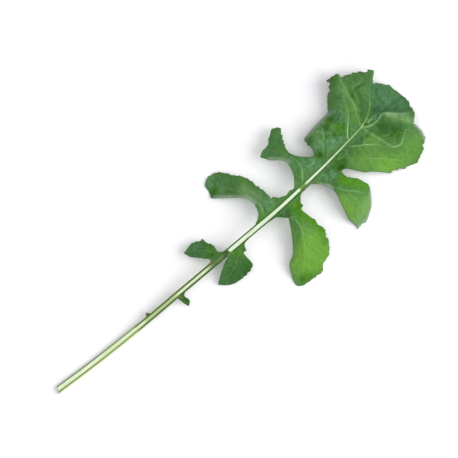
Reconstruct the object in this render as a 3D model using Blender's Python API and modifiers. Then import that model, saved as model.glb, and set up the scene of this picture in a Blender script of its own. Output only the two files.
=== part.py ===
"""A cut arugula leaf that lies on a table: its pale stalk and its lobed green blade.

The leaf's own frame, in millimetres: X runs along the stalk from the cut end to the
tip, Y to the leaf's left, Z up from the table. The mesh data is scaled to metres last.
"""
import math

import bmesh
import bpy
import numpy as np
from mathutils import Vector

MM = 0.001

# Driving dimensions
LEAF_CENTRE = (90.9, -4.5)        # the middle of the leaf, which the origin is put under
BLADE_THICKNESS = 0.6
BLADE_START = 44.0                # where the wings begin on the stalk
GRID_STEP = 1.8                   # spacing of the cuts that divide the blade
EDGE_STEP = 1.9                   # spacing of the points on its smooth margins
WING_EDGE = 1.35                  # half the width of stalk and wings between two lobes
GAP = 0.3                         # clearance between the stalk and the blade
STALK_STEP = 3.5                  # spacing of the stalk's sections
STALK_BOTTOM = -1.4               # the stalk's underside, from the blade's underside
STALK_TOP = 0.62                  # its top stripe, from the blade's underside
GROOVE_DEPTH = 0.2
CUT_SLANT = 0.45                  # how far the cut end leans, as a slope

# The midrib's line, and what changes along it, as (distance from the cut end, value)
MIDRIB_Y = ((0, 0.0), (20, -1.4), (40, -2.2), (60, -2.45), (80, -2.75), (100, -3.05),
            (112, -3.2), (126, -2.8), (140, -2.1), (154, -0.95), (163, -0.1))
MIDRIB_Z = ((0, 1.15), (20, 1.15), (30, 1.45), (44, 2.4), (60, 3.8), (75, 5.1),
            (90, 6.3), (105, 7.2), (120, 7.4), (135, 6.9), (150, 5.9), (163, 4.9))
STALK_HALF_WIDTH = ((0, 1.32), (50, 1.2), (100, 1.15), (126, 0.9), (140, 0.65), (161.5, 0.5))
STRIPE_HALF_WIDTH = ((0, 0.62), (50, 0.5), (120, 0.5), (135, 0.38), (161.5, 0.28))
MIDRIB_END = 161.5

# The blade's margin, lobe by lobe, from the stalk's left side round to its right side.
# A point with TIP is a sharp tooth, corner or notch. The others are joined smoothly.
TIP = True
LEFT_TOOTH = ((46.3, -0.95), (47.2, 0.4, TIP), (48.4, -1.05))
LEFT_LOW_LOBE = (
    (80.1, -1.3), (80.4, 0.1), (77.1, 3.6), (75.3, 5.8), (74.3, 8.4, TIP), (76.4, 8.8),
    (79.5, 9.4, TIP), (82.5, 7.8), (83.4, 8.0, TIP), (83.9, 5.8), (85.2, 3.2), (85.0, 0.3),
    (86.1, -1.2), (87.6, -1.5))
LEFT_MIDDLE_LOBE = (
    (103.9, -1.6), (107.2, 0.7), (108.5, 4.7), (107.0, 9.1), (101.7, 13.9),
    (97.1, 17.8, TIP), (98.2, 20.5), (98.4, 22.7), (99.5, 24.0), (101.7, 24.9),
    (105.2, 24.3), (107.4, 22.3), (109.6, 19.2), (112.9, 14.8), (114.0, 9.5), (115.0, 5.1),
    (115.1, 2.0), (116.5, 1.6, TIP), (116.9, 0.5), (120.2, -0.9), (122.8, -0.6))
LEFT_UPPER_LOBE = (
    (124.8, -0.8), (127.9, 2.9), (129.2, 8.6), (127.2, 11.7), (124.8, 13.9),
    (122.7, 17.4, TIP), (125.0, 18.5), (128.3, 19.0), (129.9, 20.7), (131.2, 21.2),
    (133.0, 22.5), (134.7, 22.4), (136.4, 21.0, TIP), (133.8, 16.1), (132.5, 12.0),
    (133.8, 8.2), (137.8, 4.2), (139.4, 3.3, TIP))
END_LOBE = (
    (140.1, 4.85), (140.6, 6.9), (140.1, 8.6), (140.6, 9.6, TIP), (140.3, 10.4),
    (140.9, 11.5, TIP), (147.3, 12.4), (153.0, 12.9), (155.2, 13.3, TIP), (159.3, 18.3),
    (161.0, 18.9), (161.6, 20.35), (163.0, 21.2), (162.6, 23.0, TIP), (165.9, 22.6),
    (168.2, 21.9, TIP), (168.0, 20.1, TIP), (172.1, 18.6), (175.6, 16.6, TIP), (176.4, 15.2),
    (178.1, 15.1, TIP), (179.8, 13.7, TIP), (175.9, 10.1, TIP), (177.9, 8.6), (179.0, 7.0),
    (180.5, 5.4), (181.4, 1.5), (182.25, -2.6), (182.25, -5.1), (181.4, -7.1),
    (181.6, -8.5, TIP), (180.0, -10.9), (177.9, -12.5, TIP), (178.35, -15.4), (178.1, -19.4),
    (176.7, -21.3, TIP), (175.1, -21.9), (174.7, -23.3, TIP), (171.6, -24.5),
    (171.3, -25.1, TIP), (170.5, -24.9), (169.4, -25.8, TIP), (167.4, -25.2), (165.2, -24.3),
    (163.8, -24.4, TIP), (162.0, -22.9), (161.1, -23.0, TIP), (159.8, -21.8),
    (157.9, -21.8, TIP), (155.6, -19.2), (152.8, -16.4), (150.5, -15.0, TIP), (147.5, -11.1),
    (146.4, -9.5), (145.3, -8.5), (144.3, -8.1), (143.4, -8.5), (143.1, -9.4))
RIGHT_UPPER_LOBE = (
    (143.5, -10.8), (144.6, -12.6), (146.6, -14.7, TIP), (147.6, -17.6), (148.1, -19.8),
    (145.7, -24.1), (142.8, -27.4), (138.2, -30.1), (133.9, -29.9, TIP), (133.3, -24.5),
    (135.1, -17.1), (136.0, -14.2), (135.7, -10.0), (132.9, -5.9), (130.8, -4.3), (127.5, -4.3))
RIGHT_MIDDLE_LOBE = (
    (125.0, -4.7), (122.9, -7.0), (123.1, -8.1, TIP), (121.4, -9.4), (122.2, -14.2),
    (122.9, -15.8, TIP), (122.4, -18.2), (123.1, -20.0), (123.2, -21.9, TIP),
    (121.7, -23.9), (121.3, -26.1), (118.0, -30.1), (113.6, -31.6), (111.8, -33.8, TIP),
    (107.0, -33.4), (101.5, -32.6), (100.2, -29.6), (103.2, -23.3), (107.4, -20.4),
    (111.4, -15.1), (115.3, -8.4, TIP), (111.8, -5.2), (109.6, -4.7))
RIGHT_LOW_LOBE = (
    (97.3, -4.4), (95.1, -4.9), (94.0, -7.2, TIP), (92.5, -7.4), (92.4, -12.2),
    (91.1, -14.0), (85.2, -14.6), (80.4, -13.6), (76.4, -10.3, TIP), (79.7, -8.1),
    (84.8, -5.2), (88.0, -4.4))
RIGHT_LOBELET = ((64.4, -3.9), (63.3, -4.9), (63.75, -7.4), (61.9, -9.05, TIP), (61.2, -6.7),
                 (60.6, -3.9))

# Heights of the blade's underside away from the midrib, as (x, y, height): the lobes
# droop, and some of their tips lie on the table
BLADE_HEIGHTS = (
    (62, -8, 2.4), (77, 7, 3.6), (82, 5, 5.1), (91, -8, 5.6), (84, -11, 3.0), (77, -10, 1.6),
    (111, 5, 8.0), (109, 12, 5.8), (104, 19, 1.9), (98.5, 21, -0.3), (103, 24.5, -0.5),
    (128, 3, 7.9), (131, 12, 7.2), (124, 17, 5.4), (135, 21, 4.0),
    (118, -9, 7.9), (118, -17, 6.8), (119, -25, 3.8), (110, -27, 2.2), (102, -31, -0.5),
    (110.5, -33, -0.4), (138, -9, 7.2), (141, -17, 7.0), (142, -24, 4.0), (135, -29.5, -0.3),
    (141, -28, 0.4), (143, 6, 7.2), (149, 7, 7.0), (143, 10, 6.6), (150, 10.4, 6.0),
    (142, 12.2, 2.4), (150, 13.0, 2.0), (155.6, 14.2, 2.4), (160, 18.6, 3.0), (163, 21.6, 3.6),
    (157, 9, 6.2), (161.6, 15, 5.6), (166.5, 21, 5.2), (171, 12, 5.6), (178, 14, 4.2),
    (172, 0, 4.0), (181, -3, 2.6), (166, -9, 5.2), (155, -8, 6.2), (150, -11, 5.0),
    (160, -18, 3.2), (173, -16, 4.0), (178, -18, 2.4), (166, -24.5, 0.2), (173, -24, 0.4))

# Pleats of the end lobe. Each crest's line starts at the end of the midrib. Its high
# side slopes gently, and its other side (LEFT or RIGHT of the line) drops steeply.
LEFT = 1.0
RIGHT = -1.0
PLEATS = (
    (((161.2, 0.6), (162.6, 3.8), (164.2, 7.4), (165.1, 11.0), (165.9, 15.0), (167.4, 19.8),
      (169.4, 25.0)), RIGHT, 3.3),
    (((161.9, 0.3), (165.0, 1.1), (168.2, 2.8), (170.4, 5.2), (173.0, 8.0), (176.4, 10.4),
      (182.0, 15.0)), RIGHT, 3.1),
    (((161.7, -0.6), (163.6, -1.9), (166.0, -2.4), (168.4, -2.2), (170.6, -1.4), (172.4, -2.4),
      (174.4, -4.3), (176.6, -6.3), (178.8, -8.2), (181.6, -10.4)), LEFT, 3.2))
PLEAT_SLOPE = 6.5                 # how wide the gentle side is
PLEAT_DROP = 1.7                  # how wide the steep side is
PLEAT_START = 5.0                 # how far from the midrib a pleat takes to rise
PLEAT_HEIGHTS_DOWN = 0.35         # how deep the foot of the steep side sinks, of its height


def along(points, x):
    """Read a smooth curve through the points (position, value) at x."""
    places = np.array([p[0] for p in points], float)
    values = np.array([p[1] for p in points], float)
    slopes = np.gradient(values, places)
    x = np.clip(x, places[0], places[-1])
    i = np.clip(np.searchsorted(places, x) - 1, 0, len(places) - 2)
    width = places[i + 1] - places[i]
    t = (x - places[i]) / width
    start = (2 * t ** 3 - 3 * t ** 2 + 1) * values[i] + (t ** 3 - 2 * t ** 2 + t) * width * slopes[i]
    end = (3 * t ** 2 - 2 * t ** 3) * values[i + 1] + (t ** 3 - t ** 2) * width * slopes[i + 1]
    return start + end


def smooth_run(points, step):
    """Sample a curve through the points, from the first up to the last, step apart."""
    first = 2 * Vector(points[0]) - Vector(points[1])
    last = 2 * Vector(points[-1]) - Vector(points[-2])
    knots = [first] + [Vector(p) for p in points] + [last]
    curve = []
    for a, b, c, d in zip(knots, knots[1:], knots[2:], knots[3:]):
        pieces = max(1, round((c - b).length / step))
        for k in range(pieces):
            t = k / pieces
            curve.append(0.5 * (2 * b + (c - a) * t + (2 * a - 5 * b + 4 * c - d) * t ** 2
                                + (3 * b - a - 3 * c + d) * t ** 3))
    return curve


def toothed_line(points, step):
    """Sample an outline that is smooth between its sharp points."""
    line = []
    run = []
    for point in points:
        run.append(point[:2])
        if len(point) == 3:
            line += smooth_run(run, step)
            run = [point[:2]]
    line += smooth_run(run, step) + [Vector(run[-1])]
    return line


def beside_midrib(start, end, offset, step):
    """Points along the midrib, at one side of it: offset is a number or a function."""
    count = max(2, round(abs(end - start) / step) + 1)
    spots = np.linspace(start, end, count)
    return [(x, along(MIDRIB_Y, x) + (offset(x) if callable(offset) else offset))
            for x in spots]


def slot_half_width(x):
    """Half the width of the blade's slot, which the stalk's top stripe fills."""
    return along(STRIPE_HALF_WIDTH, x) + GAP


def margin(step):
    """The whole outline of the blade, round its lobes and back along its slot."""
    wing = 9.0
    outer = (
        beside_midrib(BLADE_START, 45.4, WING_EDGE, wing) + list(LEFT_TOOTH)
        + beside_midrib(50.0, 78.0, WING_EDGE, wing) + list(LEFT_LOW_LOBE)
        + beside_midrib(90.0, 102.0, WING_EDGE, wing) + list(LEFT_MIDDLE_LOBE)
        + list(LEFT_UPPER_LOBE) + list(END_LOBE) + list(RIGHT_UPPER_LOBE)
        + list(RIGHT_MIDDLE_LOBE) + beside_midrib(107.5, 99.5, -WING_EDGE, wing)
        + list(RIGHT_LOW_LOBE) + beside_midrib(86.0, 66.0, -WING_EDGE, wing)
        + list(RIGHT_LOBELET) + beside_midrib(59.0, BLADE_START, -WING_EDGE, wing))
    slot_end = MIDRIB_END + GAP
    slot = (beside_midrib(BLADE_START, slot_end, lambda x: -slot_half_width(x), step)
            + beside_midrib(slot_end, BLADE_START, slot_half_width, step))
    return toothed_line(outer, step) + [Vector(p) for p in slot]


def thin_plate(points):
    """A height field that bends as little as it can through all the points (x, y, z)."""
    points = np.array(points, float)
    spots = points[:, :2]

    def influence(distance):
        return distance ** 2 * np.log(np.maximum(distance, 1e-6))

    def plane(xy):
        return np.hstack([np.ones((len(xy), 1)), xy])

    gaps = np.linalg.norm(spots[:, None] - spots[None], axis=2)
    count = len(points)
    system = np.zeros((count + 3, count + 3))
    system[:count, :count] = influence(gaps)
    system[:count, count:] = plane(spots)
    system[count:, :count] = plane(spots).T
    weights = np.linalg.solve(system, np.append(points[:, 2], [0, 0, 0]))

    def height(xy):
        reach = np.linalg.norm(xy[:, None] - spots[None], axis=2)
        return influence(reach) @ weights[:count] + plane(xy) @ weights[count:]

    return height


def pleat(xy, line, low_side, height):
    """How much one pleat lifts the blade at each place."""
    line = np.array(smooth_run(line, 1.0))
    starts, ends = line[:-1], line[1:]
    run = ends - starts
    offset = xy[:, None] - starts[None]
    t = np.clip((offset * run).sum(2) / (run ** 2).sum(1), 0, 1)
    near = offset - t[:, :, None] * run
    distance = np.linalg.norm(near, axis=2)
    nearest = distance.argmin(1)
    rows = np.arange(len(xy))
    side = np.sign(run[nearest, 0] * near[rows, nearest, 1] - run[nearest, 1] * near[rows, nearest, 0])
    away = distance[rows, nearest] * side * low_side
    gentle = np.exp(-(np.minimum(away, 0) / PLEAT_SLOPE) ** 2)
    foot = PLEAT_HEIGHTS_DOWN * np.exp(-np.maximum(away - 2 * PLEAT_DROP, 0) / PLEAT_SLOPE)
    steep = (1 + foot) * np.exp(-(np.maximum(away, 0) / PLEAT_DROP) ** 2) - foot
    lift = np.where(away < 0, gentle, steep)
    from_start = np.linalg.norm(xy - line[0], axis=1)
    return height * lift * (1 - np.exp(-(from_start / PLEAT_START) ** 2))


def blade_heights(xy):
    """Height of the blade's underside at each place."""
    midrib_spots = np.arange(46.0, 162.0, 8.0)
    midrib = [(x, along(MIDRIB_Y, x), along(MIDRIB_Z, x)) for x in midrib_spots]
    height = thin_plate(list(BLADE_HEIGHTS) + midrib)(xy)
    for line, low_side, rise in PLEATS:
        height += pleat(xy, line, low_side, rise)
    beside = np.abs(xy[:, 1] - along(MIDRIB_Y, xy[:, 0]))
    beyond_end = np.maximum(xy[:, 0] - MIDRIB_END, 0)
    level = np.exp(-np.maximum(np.hypot(beside, beyond_end) - WING_EDGE, 0) ** 2 / 4)
    height = level * along(MIDRIB_Z, xy[:, 0]) + (1 - level) * height
    return np.maximum(height, 0)


def to_object(name, bm, material, collection):
    """Scale to metres, centre on the leaf's middle and link as an object."""
    bmesh.ops.translate(bm, verts=bm.verts, vec=(-LEAF_CENTRE[0], -LEAF_CENTRE[1], 0))
    bmesh.ops.scale(bm, verts=bm.verts, vec=(MM, MM, MM))
    mesh = bpy.data.meshes.new(name)
    bm.to_mesh(mesh)
    bm.free()
    mesh.materials.append(material)
    mesh.shade_smooth()
    leaf_piece = bpy.data.objects.new(name, mesh)
    collection.objects.link(leaf_piece)
    return leaf_piece


def cut_in_strips(bm, normal, places):
    """Divide the faces along parallel planes."""
    normal = Vector(normal)
    for place in places:
        bmesh.ops.bisect_plane(bm, geom=bm.verts[:] + bm.edges[:] + bm.faces[:],
                               plane_co=normal * place, plane_no=normal, dist=0.0001)


def make_blade(material, collection):
    bm = bmesh.new()
    corners = [bm.verts.new((p.x, p.y, 0)) for p in margin(EDGE_STEP)]
    bm.faces.new(corners)
    cut_in_strips(bm, (1, 0, 0), np.arange(BLADE_START + GRID_STEP, 183.0, GRID_STEP))
    cut_in_strips(bm, (0, 1, 0), np.arange(-34.4, 25.0, GRID_STEP))
    bmesh.ops.remove_doubles(bm, verts=bm.verts, dist=0.12)
    bmesh.ops.triangulate(bm, faces=bm.faces, quad_method="BEAUTY", ngon_method="BEAUTY")
    bmesh.ops.recalc_face_normals(bm, faces=bm.faces)
    if bm.faces[0].normal.z < 0:
        bmesh.ops.reverse_faces(bm, faces=bm.faces)
    xy = np.array([v.co.xy for v in bm.verts])
    for vertex, height in zip(bm.verts, blade_heights(xy)):
        vertex.co.z = height
    blade = to_object("blade", bm, material, collection)
    shell = blade.modifiers.new("thickness", "SOLIDIFY")
    shell.thickness = BLADE_THICKNESS * MM
    shell.offset = 1.0
    return blade


def stalk_section(x):
    """The stalk's cross-section as (across, up) points, from its right shoulder round."""
    half = along(STALK_HALF_WIDTH, x)
    stripe = along(STRIPE_HALF_WIDTH, x)
    winged = min(max((x - BLADE_START + 5) / 4, 0), 1)
    shoulder = -GAP
    depth = (STALK_BOTTOM - shoulder) * (half / 1.2 if x > 100 else 1)
    under = [(half * math.cos(a), shoulder + depth * math.sin(a))
             for a in np.linspace(0, math.pi, 8)]
    plain_top = ((-0.92 * half, 0.2), (-0.45 * half, STALK_TOP), (0, STALK_TOP - GROOVE_DEPTH),
                 (0.45 * half, STALK_TOP), (0.92 * half, 0.2))
    winged_top = ((-stripe, shoulder), (-stripe, STALK_TOP), (0, STALK_TOP - GROOVE_DEPTH),
                  (stripe, STALK_TOP), (stripe, shoulder))
    top = [((1 - winged) * a[0] + winged * b[0], (1 - winged) * a[1] + winged * b[1])
           for a, b in zip(plain_top, winged_top)]
    return under + top


def make_stalk(material, collection):
    bm = bmesh.new()
    spots = np.append(np.arange(-2.0, MIDRIB_END - STALK_STEP / 2, STALK_STEP), MIDRIB_END)
    rings = []
    for x in spots:
        section = stalk_section(x)
        ring = bmesh.ops.create_circle(bm, segments=len(section), radius=1)["verts"]
        for vertex, (across, up) in zip(ring, section):
            vertex.co = (x, along(MIDRIB_Y, x) + across, along(MIDRIB_Z, x) + up)
        rings.append(list({edge for vertex in ring for edge in vertex.link_edges}))
    for near, far in zip(rings, rings[1:]):
        bmesh.ops.bridge_loops(bm, edges=near + far)
    bmesh.ops.contextual_create(bm, geom=rings[-1])
    trim_cut_end(bm)
    for vertex in bm.verts:
        vertex.co.z = max(vertex.co.z, 0)
    bmesh.ops.triangulate(bm, faces=bm.faces)
    bmesh.ops.recalc_face_normals(bm, faces=bm.faces)
    return to_object("stalk", bm, material, collection)


def trim_cut_end(bm):
    """Cut the stalk's low end along a slanting plane and close it."""
    cut = bmesh.ops.bisect_plane(
        bm, geom=bm.verts[:] + bm.edges[:] + bm.faces[:], plane_co=(0, 0, 1),
        plane_no=(-1, CUT_SLANT, 0), clear_outer=True)
    edges = [e for e in cut["geom_cut"] if isinstance(e, bmesh.types.BMEdge)]
    bmesh.ops.contextual_create(bm, geom=edges)


def principled(name, colour, roughness):
    material = bpy.data.materials.new(name)
    material.use_nodes = True
    shader = material.node_tree.nodes["Principled BSDF"]
    shader.inputs["Base Color"].default_value = (*colour, 1)
    shader.inputs["Roughness"].default_value = roughness
    shader.inputs["Metallic"].default_value = 0
    return material


def main():
    for leftover in list(bpy.data.objects):
        bpy.data.objects.remove(leftover, do_unlink=True)
    leaf = bpy.data.collections.new("arugula leaf")
    bpy.context.scene.collection.children.link(leaf)
    make_stalk(principled("pale stalk", (0.60, 0.70, 0.33), 0.45), leaf)
    make_blade(principled("green blade", (0.10, 0.25, 0.07), 0.5), leaf)


main()
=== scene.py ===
# %% [markdown]
# # A cut arugula leaf
# This lesson dresses a plain leaf of solids as the real thing: a pale stalk that runs on
# as the midrib, and a green blade with toothed side lobes and a broad pleated end lobe.
# The leaf lies on a pale table with its upper side up. All its shapes are worked out in
# the leaf's own frame, in millimetres, with X along the stalk from the cut end to the
# tip, Y to the leaf's left and Z up, and are scaled to metres last.

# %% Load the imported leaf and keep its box
import math
import random

import bmesh
import bpy
import numpy as np
from mathutils import Matrix, Vector, kdtree, noise


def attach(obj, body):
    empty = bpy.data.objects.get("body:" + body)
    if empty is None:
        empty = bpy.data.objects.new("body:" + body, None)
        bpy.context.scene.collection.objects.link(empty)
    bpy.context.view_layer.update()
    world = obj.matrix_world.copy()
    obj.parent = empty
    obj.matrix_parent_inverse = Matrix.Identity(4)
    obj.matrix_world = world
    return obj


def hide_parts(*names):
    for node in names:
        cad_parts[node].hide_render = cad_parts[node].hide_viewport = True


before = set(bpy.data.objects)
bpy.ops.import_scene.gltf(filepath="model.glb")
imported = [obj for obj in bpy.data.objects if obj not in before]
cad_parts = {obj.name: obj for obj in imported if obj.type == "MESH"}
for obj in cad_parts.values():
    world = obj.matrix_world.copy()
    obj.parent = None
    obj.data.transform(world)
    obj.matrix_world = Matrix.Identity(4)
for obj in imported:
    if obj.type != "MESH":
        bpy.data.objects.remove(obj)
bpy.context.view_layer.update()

MM = 0.001
LEAF_CENTRE = (90.9, -4.5)


def place(x, y, z=0.0):
    """A place of the leaf's own frame, in metres from the part's origin."""
    return Vector((x - LEAF_CENTRE[0], y - LEAF_CENTRE[1], z)) * MM


# %% [markdown]
# ## The view
# A camera looks straight down on the table, as over a copy stand. The stalk runs up to
# the right in the picture, so the camera is rolled about its own axis. A long lens far
# above the leaf keeps its low and high parts nearly the same size.

# %% Camera
STALK_TURN = math.radians(41)     # how steeply the stalk climbs in the picture
VIEW_CENTRE = (94.4, 3.8, 6.0)    # the place in the middle of the picture
VIEW_WIDTH = 183.2
LENS = 200.0
SENSOR = 36.0
picture_right = Vector((math.cos(STALK_TURN), -math.sin(STALK_TURN), 0))
picture_up = Vector((math.sin(STALK_TURN), math.cos(STALK_TURN), 0))


def make_camera():
    data = bpy.data.cameras.new("overhead")
    data.lens = LENS
    data.sensor_width = SENSOR
    data.clip_start = 0.01
    camera = bpy.data.objects.new("overhead", data)
    distance = VIEW_WIDTH * MM * LENS / SENSOR
    turn = Matrix((picture_right, picture_up, Vector((0, 0, 1)))).transposed().to_4x4()
    camera.matrix_world = Matrix.Translation(place(*VIEW_CENTRE) + Vector((0, 0, distance))) @ turn
    bpy.context.scene.collection.objects.link(camera)
    bpy.context.scene.camera = camera
    print("camera", round(distance, 3), "m above the leaf")


make_camera()

# %% [markdown]
# ## Shader maths as sums
# Most of a leaf's look is in its materials, and each of their patterns is a chain of
# nodes. Such a chain can be built node by node, but then the sum that it works out is hard
# to read. Here a small class wraps a socket, so that a pattern is written as a sum of
# numbers, and each sum adds its own Math node.

# %% A socket that can be added and multiplied
class Wire:
    """A socket in a material: sums of wires add the Math nodes that work them out."""

    def __init__(self, tree, socket=None):
        self.tree = tree
        self.socket = socket

    def node(self, kind, settings=None, inputs=None, output=0):
        """Add a node: its settings come first, then the values or wires of its sockets."""
        node = self.tree.nodes.new("ShaderNode" + kind)
        for name, value in (settings or {}).items():
            setattr(node, name, value)
        for name, value in (inputs or {}).items():
            if isinstance(value, Wire):
                self.tree.links.new(value.socket, node.inputs[name])
            else:
                node.inputs[name].default_value = value
        return Wire(self.tree, node.outputs[output])

    def math(self, operation, *values, clamp=False):
        return self.node("Math", {"operation": operation, "use_clamp": clamp},
                         dict(enumerate(values)))

    def __add__(self, other):
        return self.math("ADD", self, other)

    __radd__ = __add__

    def __sub__(self, other):
        return self.math("SUBTRACT", self, other)

    def __rsub__(self, other):
        return self.math("SUBTRACT", other, self)

    def __mul__(self, other):
        return self.math("MULTIPLY", self, other)

    __rmul__ = __mul__

    def clamped(self):
        return self.math("ADD", self, 0.0, clamp=True)

    def unsigned(self):
        return self.math("ABSOLUTE", self)

    def between(self, low, high):
        """0 below low, 1 above high, and a smooth rise between them."""
        return self.node("MapRange", {"interpolation_type": "SMOOTHSTEP"},
                         {"Value": self, "From Min": low, "From Max": high})

    def blend(self, colour_a, colour_b):
        """The first colour where this wire is 0, the second where it is 1."""
        return self.node("Mix", {"data_type": "RGBA"}, {0: self, 6: colour_a, 7: colour_b}, 2)


def new_material(name):
    """A material with only its Principled shader, and a wire to start sums from."""
    material = bpy.data.materials.new(name)
    material.use_nodes = True
    shader = material.node_tree.nodes["Principled BSDF"]
    return material, shader, Wire(material.node_tree)


def colour(red, green, blue):
    """A colour given as it shows on a screen, from 0 to 255, as the shader takes it."""
    levels = [v / 255 for v in (red, green, blue)]
    return tuple(((v + 0.055) / 1.055) ** 2.4 if v > 0.04045 else v / 12.92 for v in levels) + (1.0,)


# %% [markdown]
# ## The table
# The leaf lies on a pale matt sheet that runs out of the picture on all sides. One large
# square is enough for that. Very faint clouds keep it from being one flat colour.

# %% Table
TABLE_SIZE = 6.0
TABLE_TONES = (colour(251, 249, 254), colour(254, 253, 255))
TABLE_CLOUDS = 3.0                # how many clouds there are to a metre


def make_table():
    bm = bmesh.new()
    bmesh.ops.create_grid(bm, x_segments=1, y_segments=1, size=TABLE_SIZE / 2)
    mesh = bpy.data.meshes.new("table")
    bm.to_mesh(mesh)
    bm.free()
    table = bpy.data.objects.new("table", mesh)
    bpy.context.scene.collection.objects.link(table)
    material, shader, wire = new_material("pale table")
    where = wire.node("TexCoord", output=3)
    cloudy = wire.node("TexNoise", {}, {"Vector": where, "Scale": TABLE_CLOUDS, "Detail": 2.0})
    tone = cloudy.blend(*TABLE_TONES)
    shader.inputs["Roughness"].default_value = 0.9
    shader.inputs["Specular IOR Level"].default_value = 0.1
    material.node_tree.links.new(tone.socket, shader.inputs["Base Color"])
    mesh.materials.append(material)
    print("table", TABLE_SIZE, "m wide")


make_table()

# %% [markdown]
# ## The light
# On a white table, soft light from one side gives a leaf pale wide shadows, which show how
# high each lobe stands. A small lamp would draw hard edges. So a very broad one stands to
# the right of the picture, and a second one nearly overhead fills the shadows and draws
# out the folds of the blade. The surroundings are a faint even white.

# %% Lamps, as (name, right, up, height, distance, size, power)
LAMPS = (
    ("key lamp", 1.0, -0.08, 0.9, 1.4, 1.3, 15.6),
    ("top lamp", -0.12, 0.1, 1.0, 1.3, 1.3, 6.0))
SKY_STRENGTH = 0.38


def make_lamp(name, right, up, height, distance, size, power):
    """An area lamp that shines at the leaf from a side given in the picture's directions."""
    data = bpy.data.lights.new(name, "AREA")
    data.shape = "DISK"
    data.size = size
    data.energy = power
    lamp = bpy.data.objects.new(name, data)
    direction = (picture_right * right + picture_up * up + Vector((0, 0, height))).normalized()
    lamp.location = place(*VIEW_CENTRE) + direction * distance
    lamp.rotation_euler = direction.to_track_quat("Z", "Y").to_euler()
    bpy.context.scene.collection.objects.link(lamp)
    print("lamp", name, power, "W")


for lamp_values in LAMPS:
    make_lamp(*lamp_values)
world = bpy.data.worlds.new("white surroundings")
world.use_nodes = True
sky = world.node_tree.nodes["Background"]
sky.inputs["Color"].default_value = (1.0, 1.0, 1.0, 1.0)
sky.inputs["Strength"].default_value = SKY_STRENGTH
bpy.context.scene.world = world
bpy.context.scene.view_settings.view_transform = "Standard"

# %% [markdown]
# ## The midrib's line
# Everything on a leaf is placed from its midrib, which bends a little sideways and arches
# up from the table. Its course and its widths are a few values along its length, which a
# smooth curve joins, so that any section of it can be asked for later.

# %% The midrib's line, and what changes along it
MIDRIB_Y = ((0, 0.0), (20, -1.4), (40, -2.2), (60, -2.45), (80, -2.75), (100, -3.05),
            (112, -3.2), (126, -2.8), (140, -2.1), (154, -0.95), (163, -0.1))
MIDRIB_Z = ((0, 1.15), (20, 1.15), (30, 1.45), (44, 2.4), (60, 3.8), (75, 5.1),
            (90, 6.3), (105, 7.2), (120, 7.4), (135, 6.9), (150, 5.9), (163, 4.9))
STALK_HALF_WIDTH = ((0, 1.45), (20, 1.42), (38, 1.34), (52, 1.2), (100, 1.15), (126, 0.9),
                    (140, 0.65), (152, 0.47), (161.5, 0.34))
STRIPE_HALF_WIDTH = ((0, 0.9), (60, 0.86), (80, 0.84), (92, 0.88), (106, 0.85), (116, 0.74),
                     (124, 0.68), (130, 0.56), (140, 0.46), (150, 0.4), (161.5, 0.28))
MIDRIB_END = 161.5
BLADE_START = 40.0                # where the wings begin on the stalk
WING_EDGE = 1.3                   # half the width of stalk and wings between two lobes


def along(points, x):
    """Read a smooth curve through the points (position, value) at x."""
    places = np.array([p[0] for p in points], float)
    values = np.array([p[1] for p in points], float)
    slopes = np.gradient(values, places)
    x = np.clip(x, places[0], places[-1])
    i = np.clip(np.searchsorted(places, x) - 1, 0, len(places) - 2)
    width = places[i + 1] - places[i]
    t = (x - places[i]) / width
    start = (2 * t ** 3 - 3 * t ** 2 + 1) * values[i] + (t ** 3 - 2 * t ** 2 + t) * width * slopes[i]
    end = (3 * t ** 2 - 2 * t ** 3) * values[i + 1] + (t ** 3 - t ** 2) * width * slopes[i + 1]
    return start + end


print("midrib", MIDRIB_END, "mm long, at most", max(z for _, z in MIDRIB_Z), "mm over the table")

# %% [markdown]
# ## The leaf's outline
# The outline is what makes an arugula leaf: three pairs of side lobes, with a lobelet and a
# tooth below them, and a broad end lobe. It could be worked out by a rule, but then it
# would be any leaf of its kind, so it is drawn point by point. Smooth stretches are broken
# by sharp teeth and notches, and between two lobes the blade narrows to wings that follow
# the midrib. The plain solids have the same outline.

# %% The lobes' margins, as points in millimetres
TIP = True                        # marks a sharp tooth, corner or notch
LEFT_TOOTH = ((46.3, -0.95), (47.2, 0.4, TIP), (48.4, -1.05))
LEFT_LOW_LOBE = (
    (80.1, -1.3), (80.4, 0.1), (77.1, 3.6), (75.3, 5.8), (74.3, 8.4, TIP), (76.4, 8.8),
    (79.5, 9.4, TIP), (82.5, 7.8), (83.4, 8.0, TIP), (83.9, 5.8), (85.2, 3.2), (85.0, 0.3),
    (86.1, -1.2), (87.6, -1.5))
LEFT_MIDDLE_LOBE = (
    (103.9, -1.6), (107.2, 0.7), (108.5, 4.7), (107.0, 9.1), (101.7, 13.9),
    (97.1, 17.8, TIP), (98.2, 20.5), (98.4, 22.7), (99.5, 24.0), (101.7, 24.9),
    (105.2, 24.3), (107.4, 22.3), (109.6, 19.2), (112.9, 14.8), (114.0, 9.5), (115.0, 5.1),
    (115.1, 2.0), (116.5, 1.6, TIP), (116.9, 0.5), (120.2, -0.9), (122.8, -0.6))
LEFT_UPPER_LOBE = (
    (124.8, -0.8), (127.9, 2.9), (129.2, 8.6), (127.2, 11.7), (124.8, 13.9),
    (122.7, 17.4, TIP), (125.0, 18.5), (128.3, 19.0), (129.9, 20.7), (131.2, 21.2),
    (133.0, 22.5), (134.7, 22.4), (136.4, 21.0, TIP), (133.8, 16.1), (132.5, 12.0),
    (133.8, 8.2), (137.8, 4.2), (139.4, 3.3, TIP))
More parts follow.
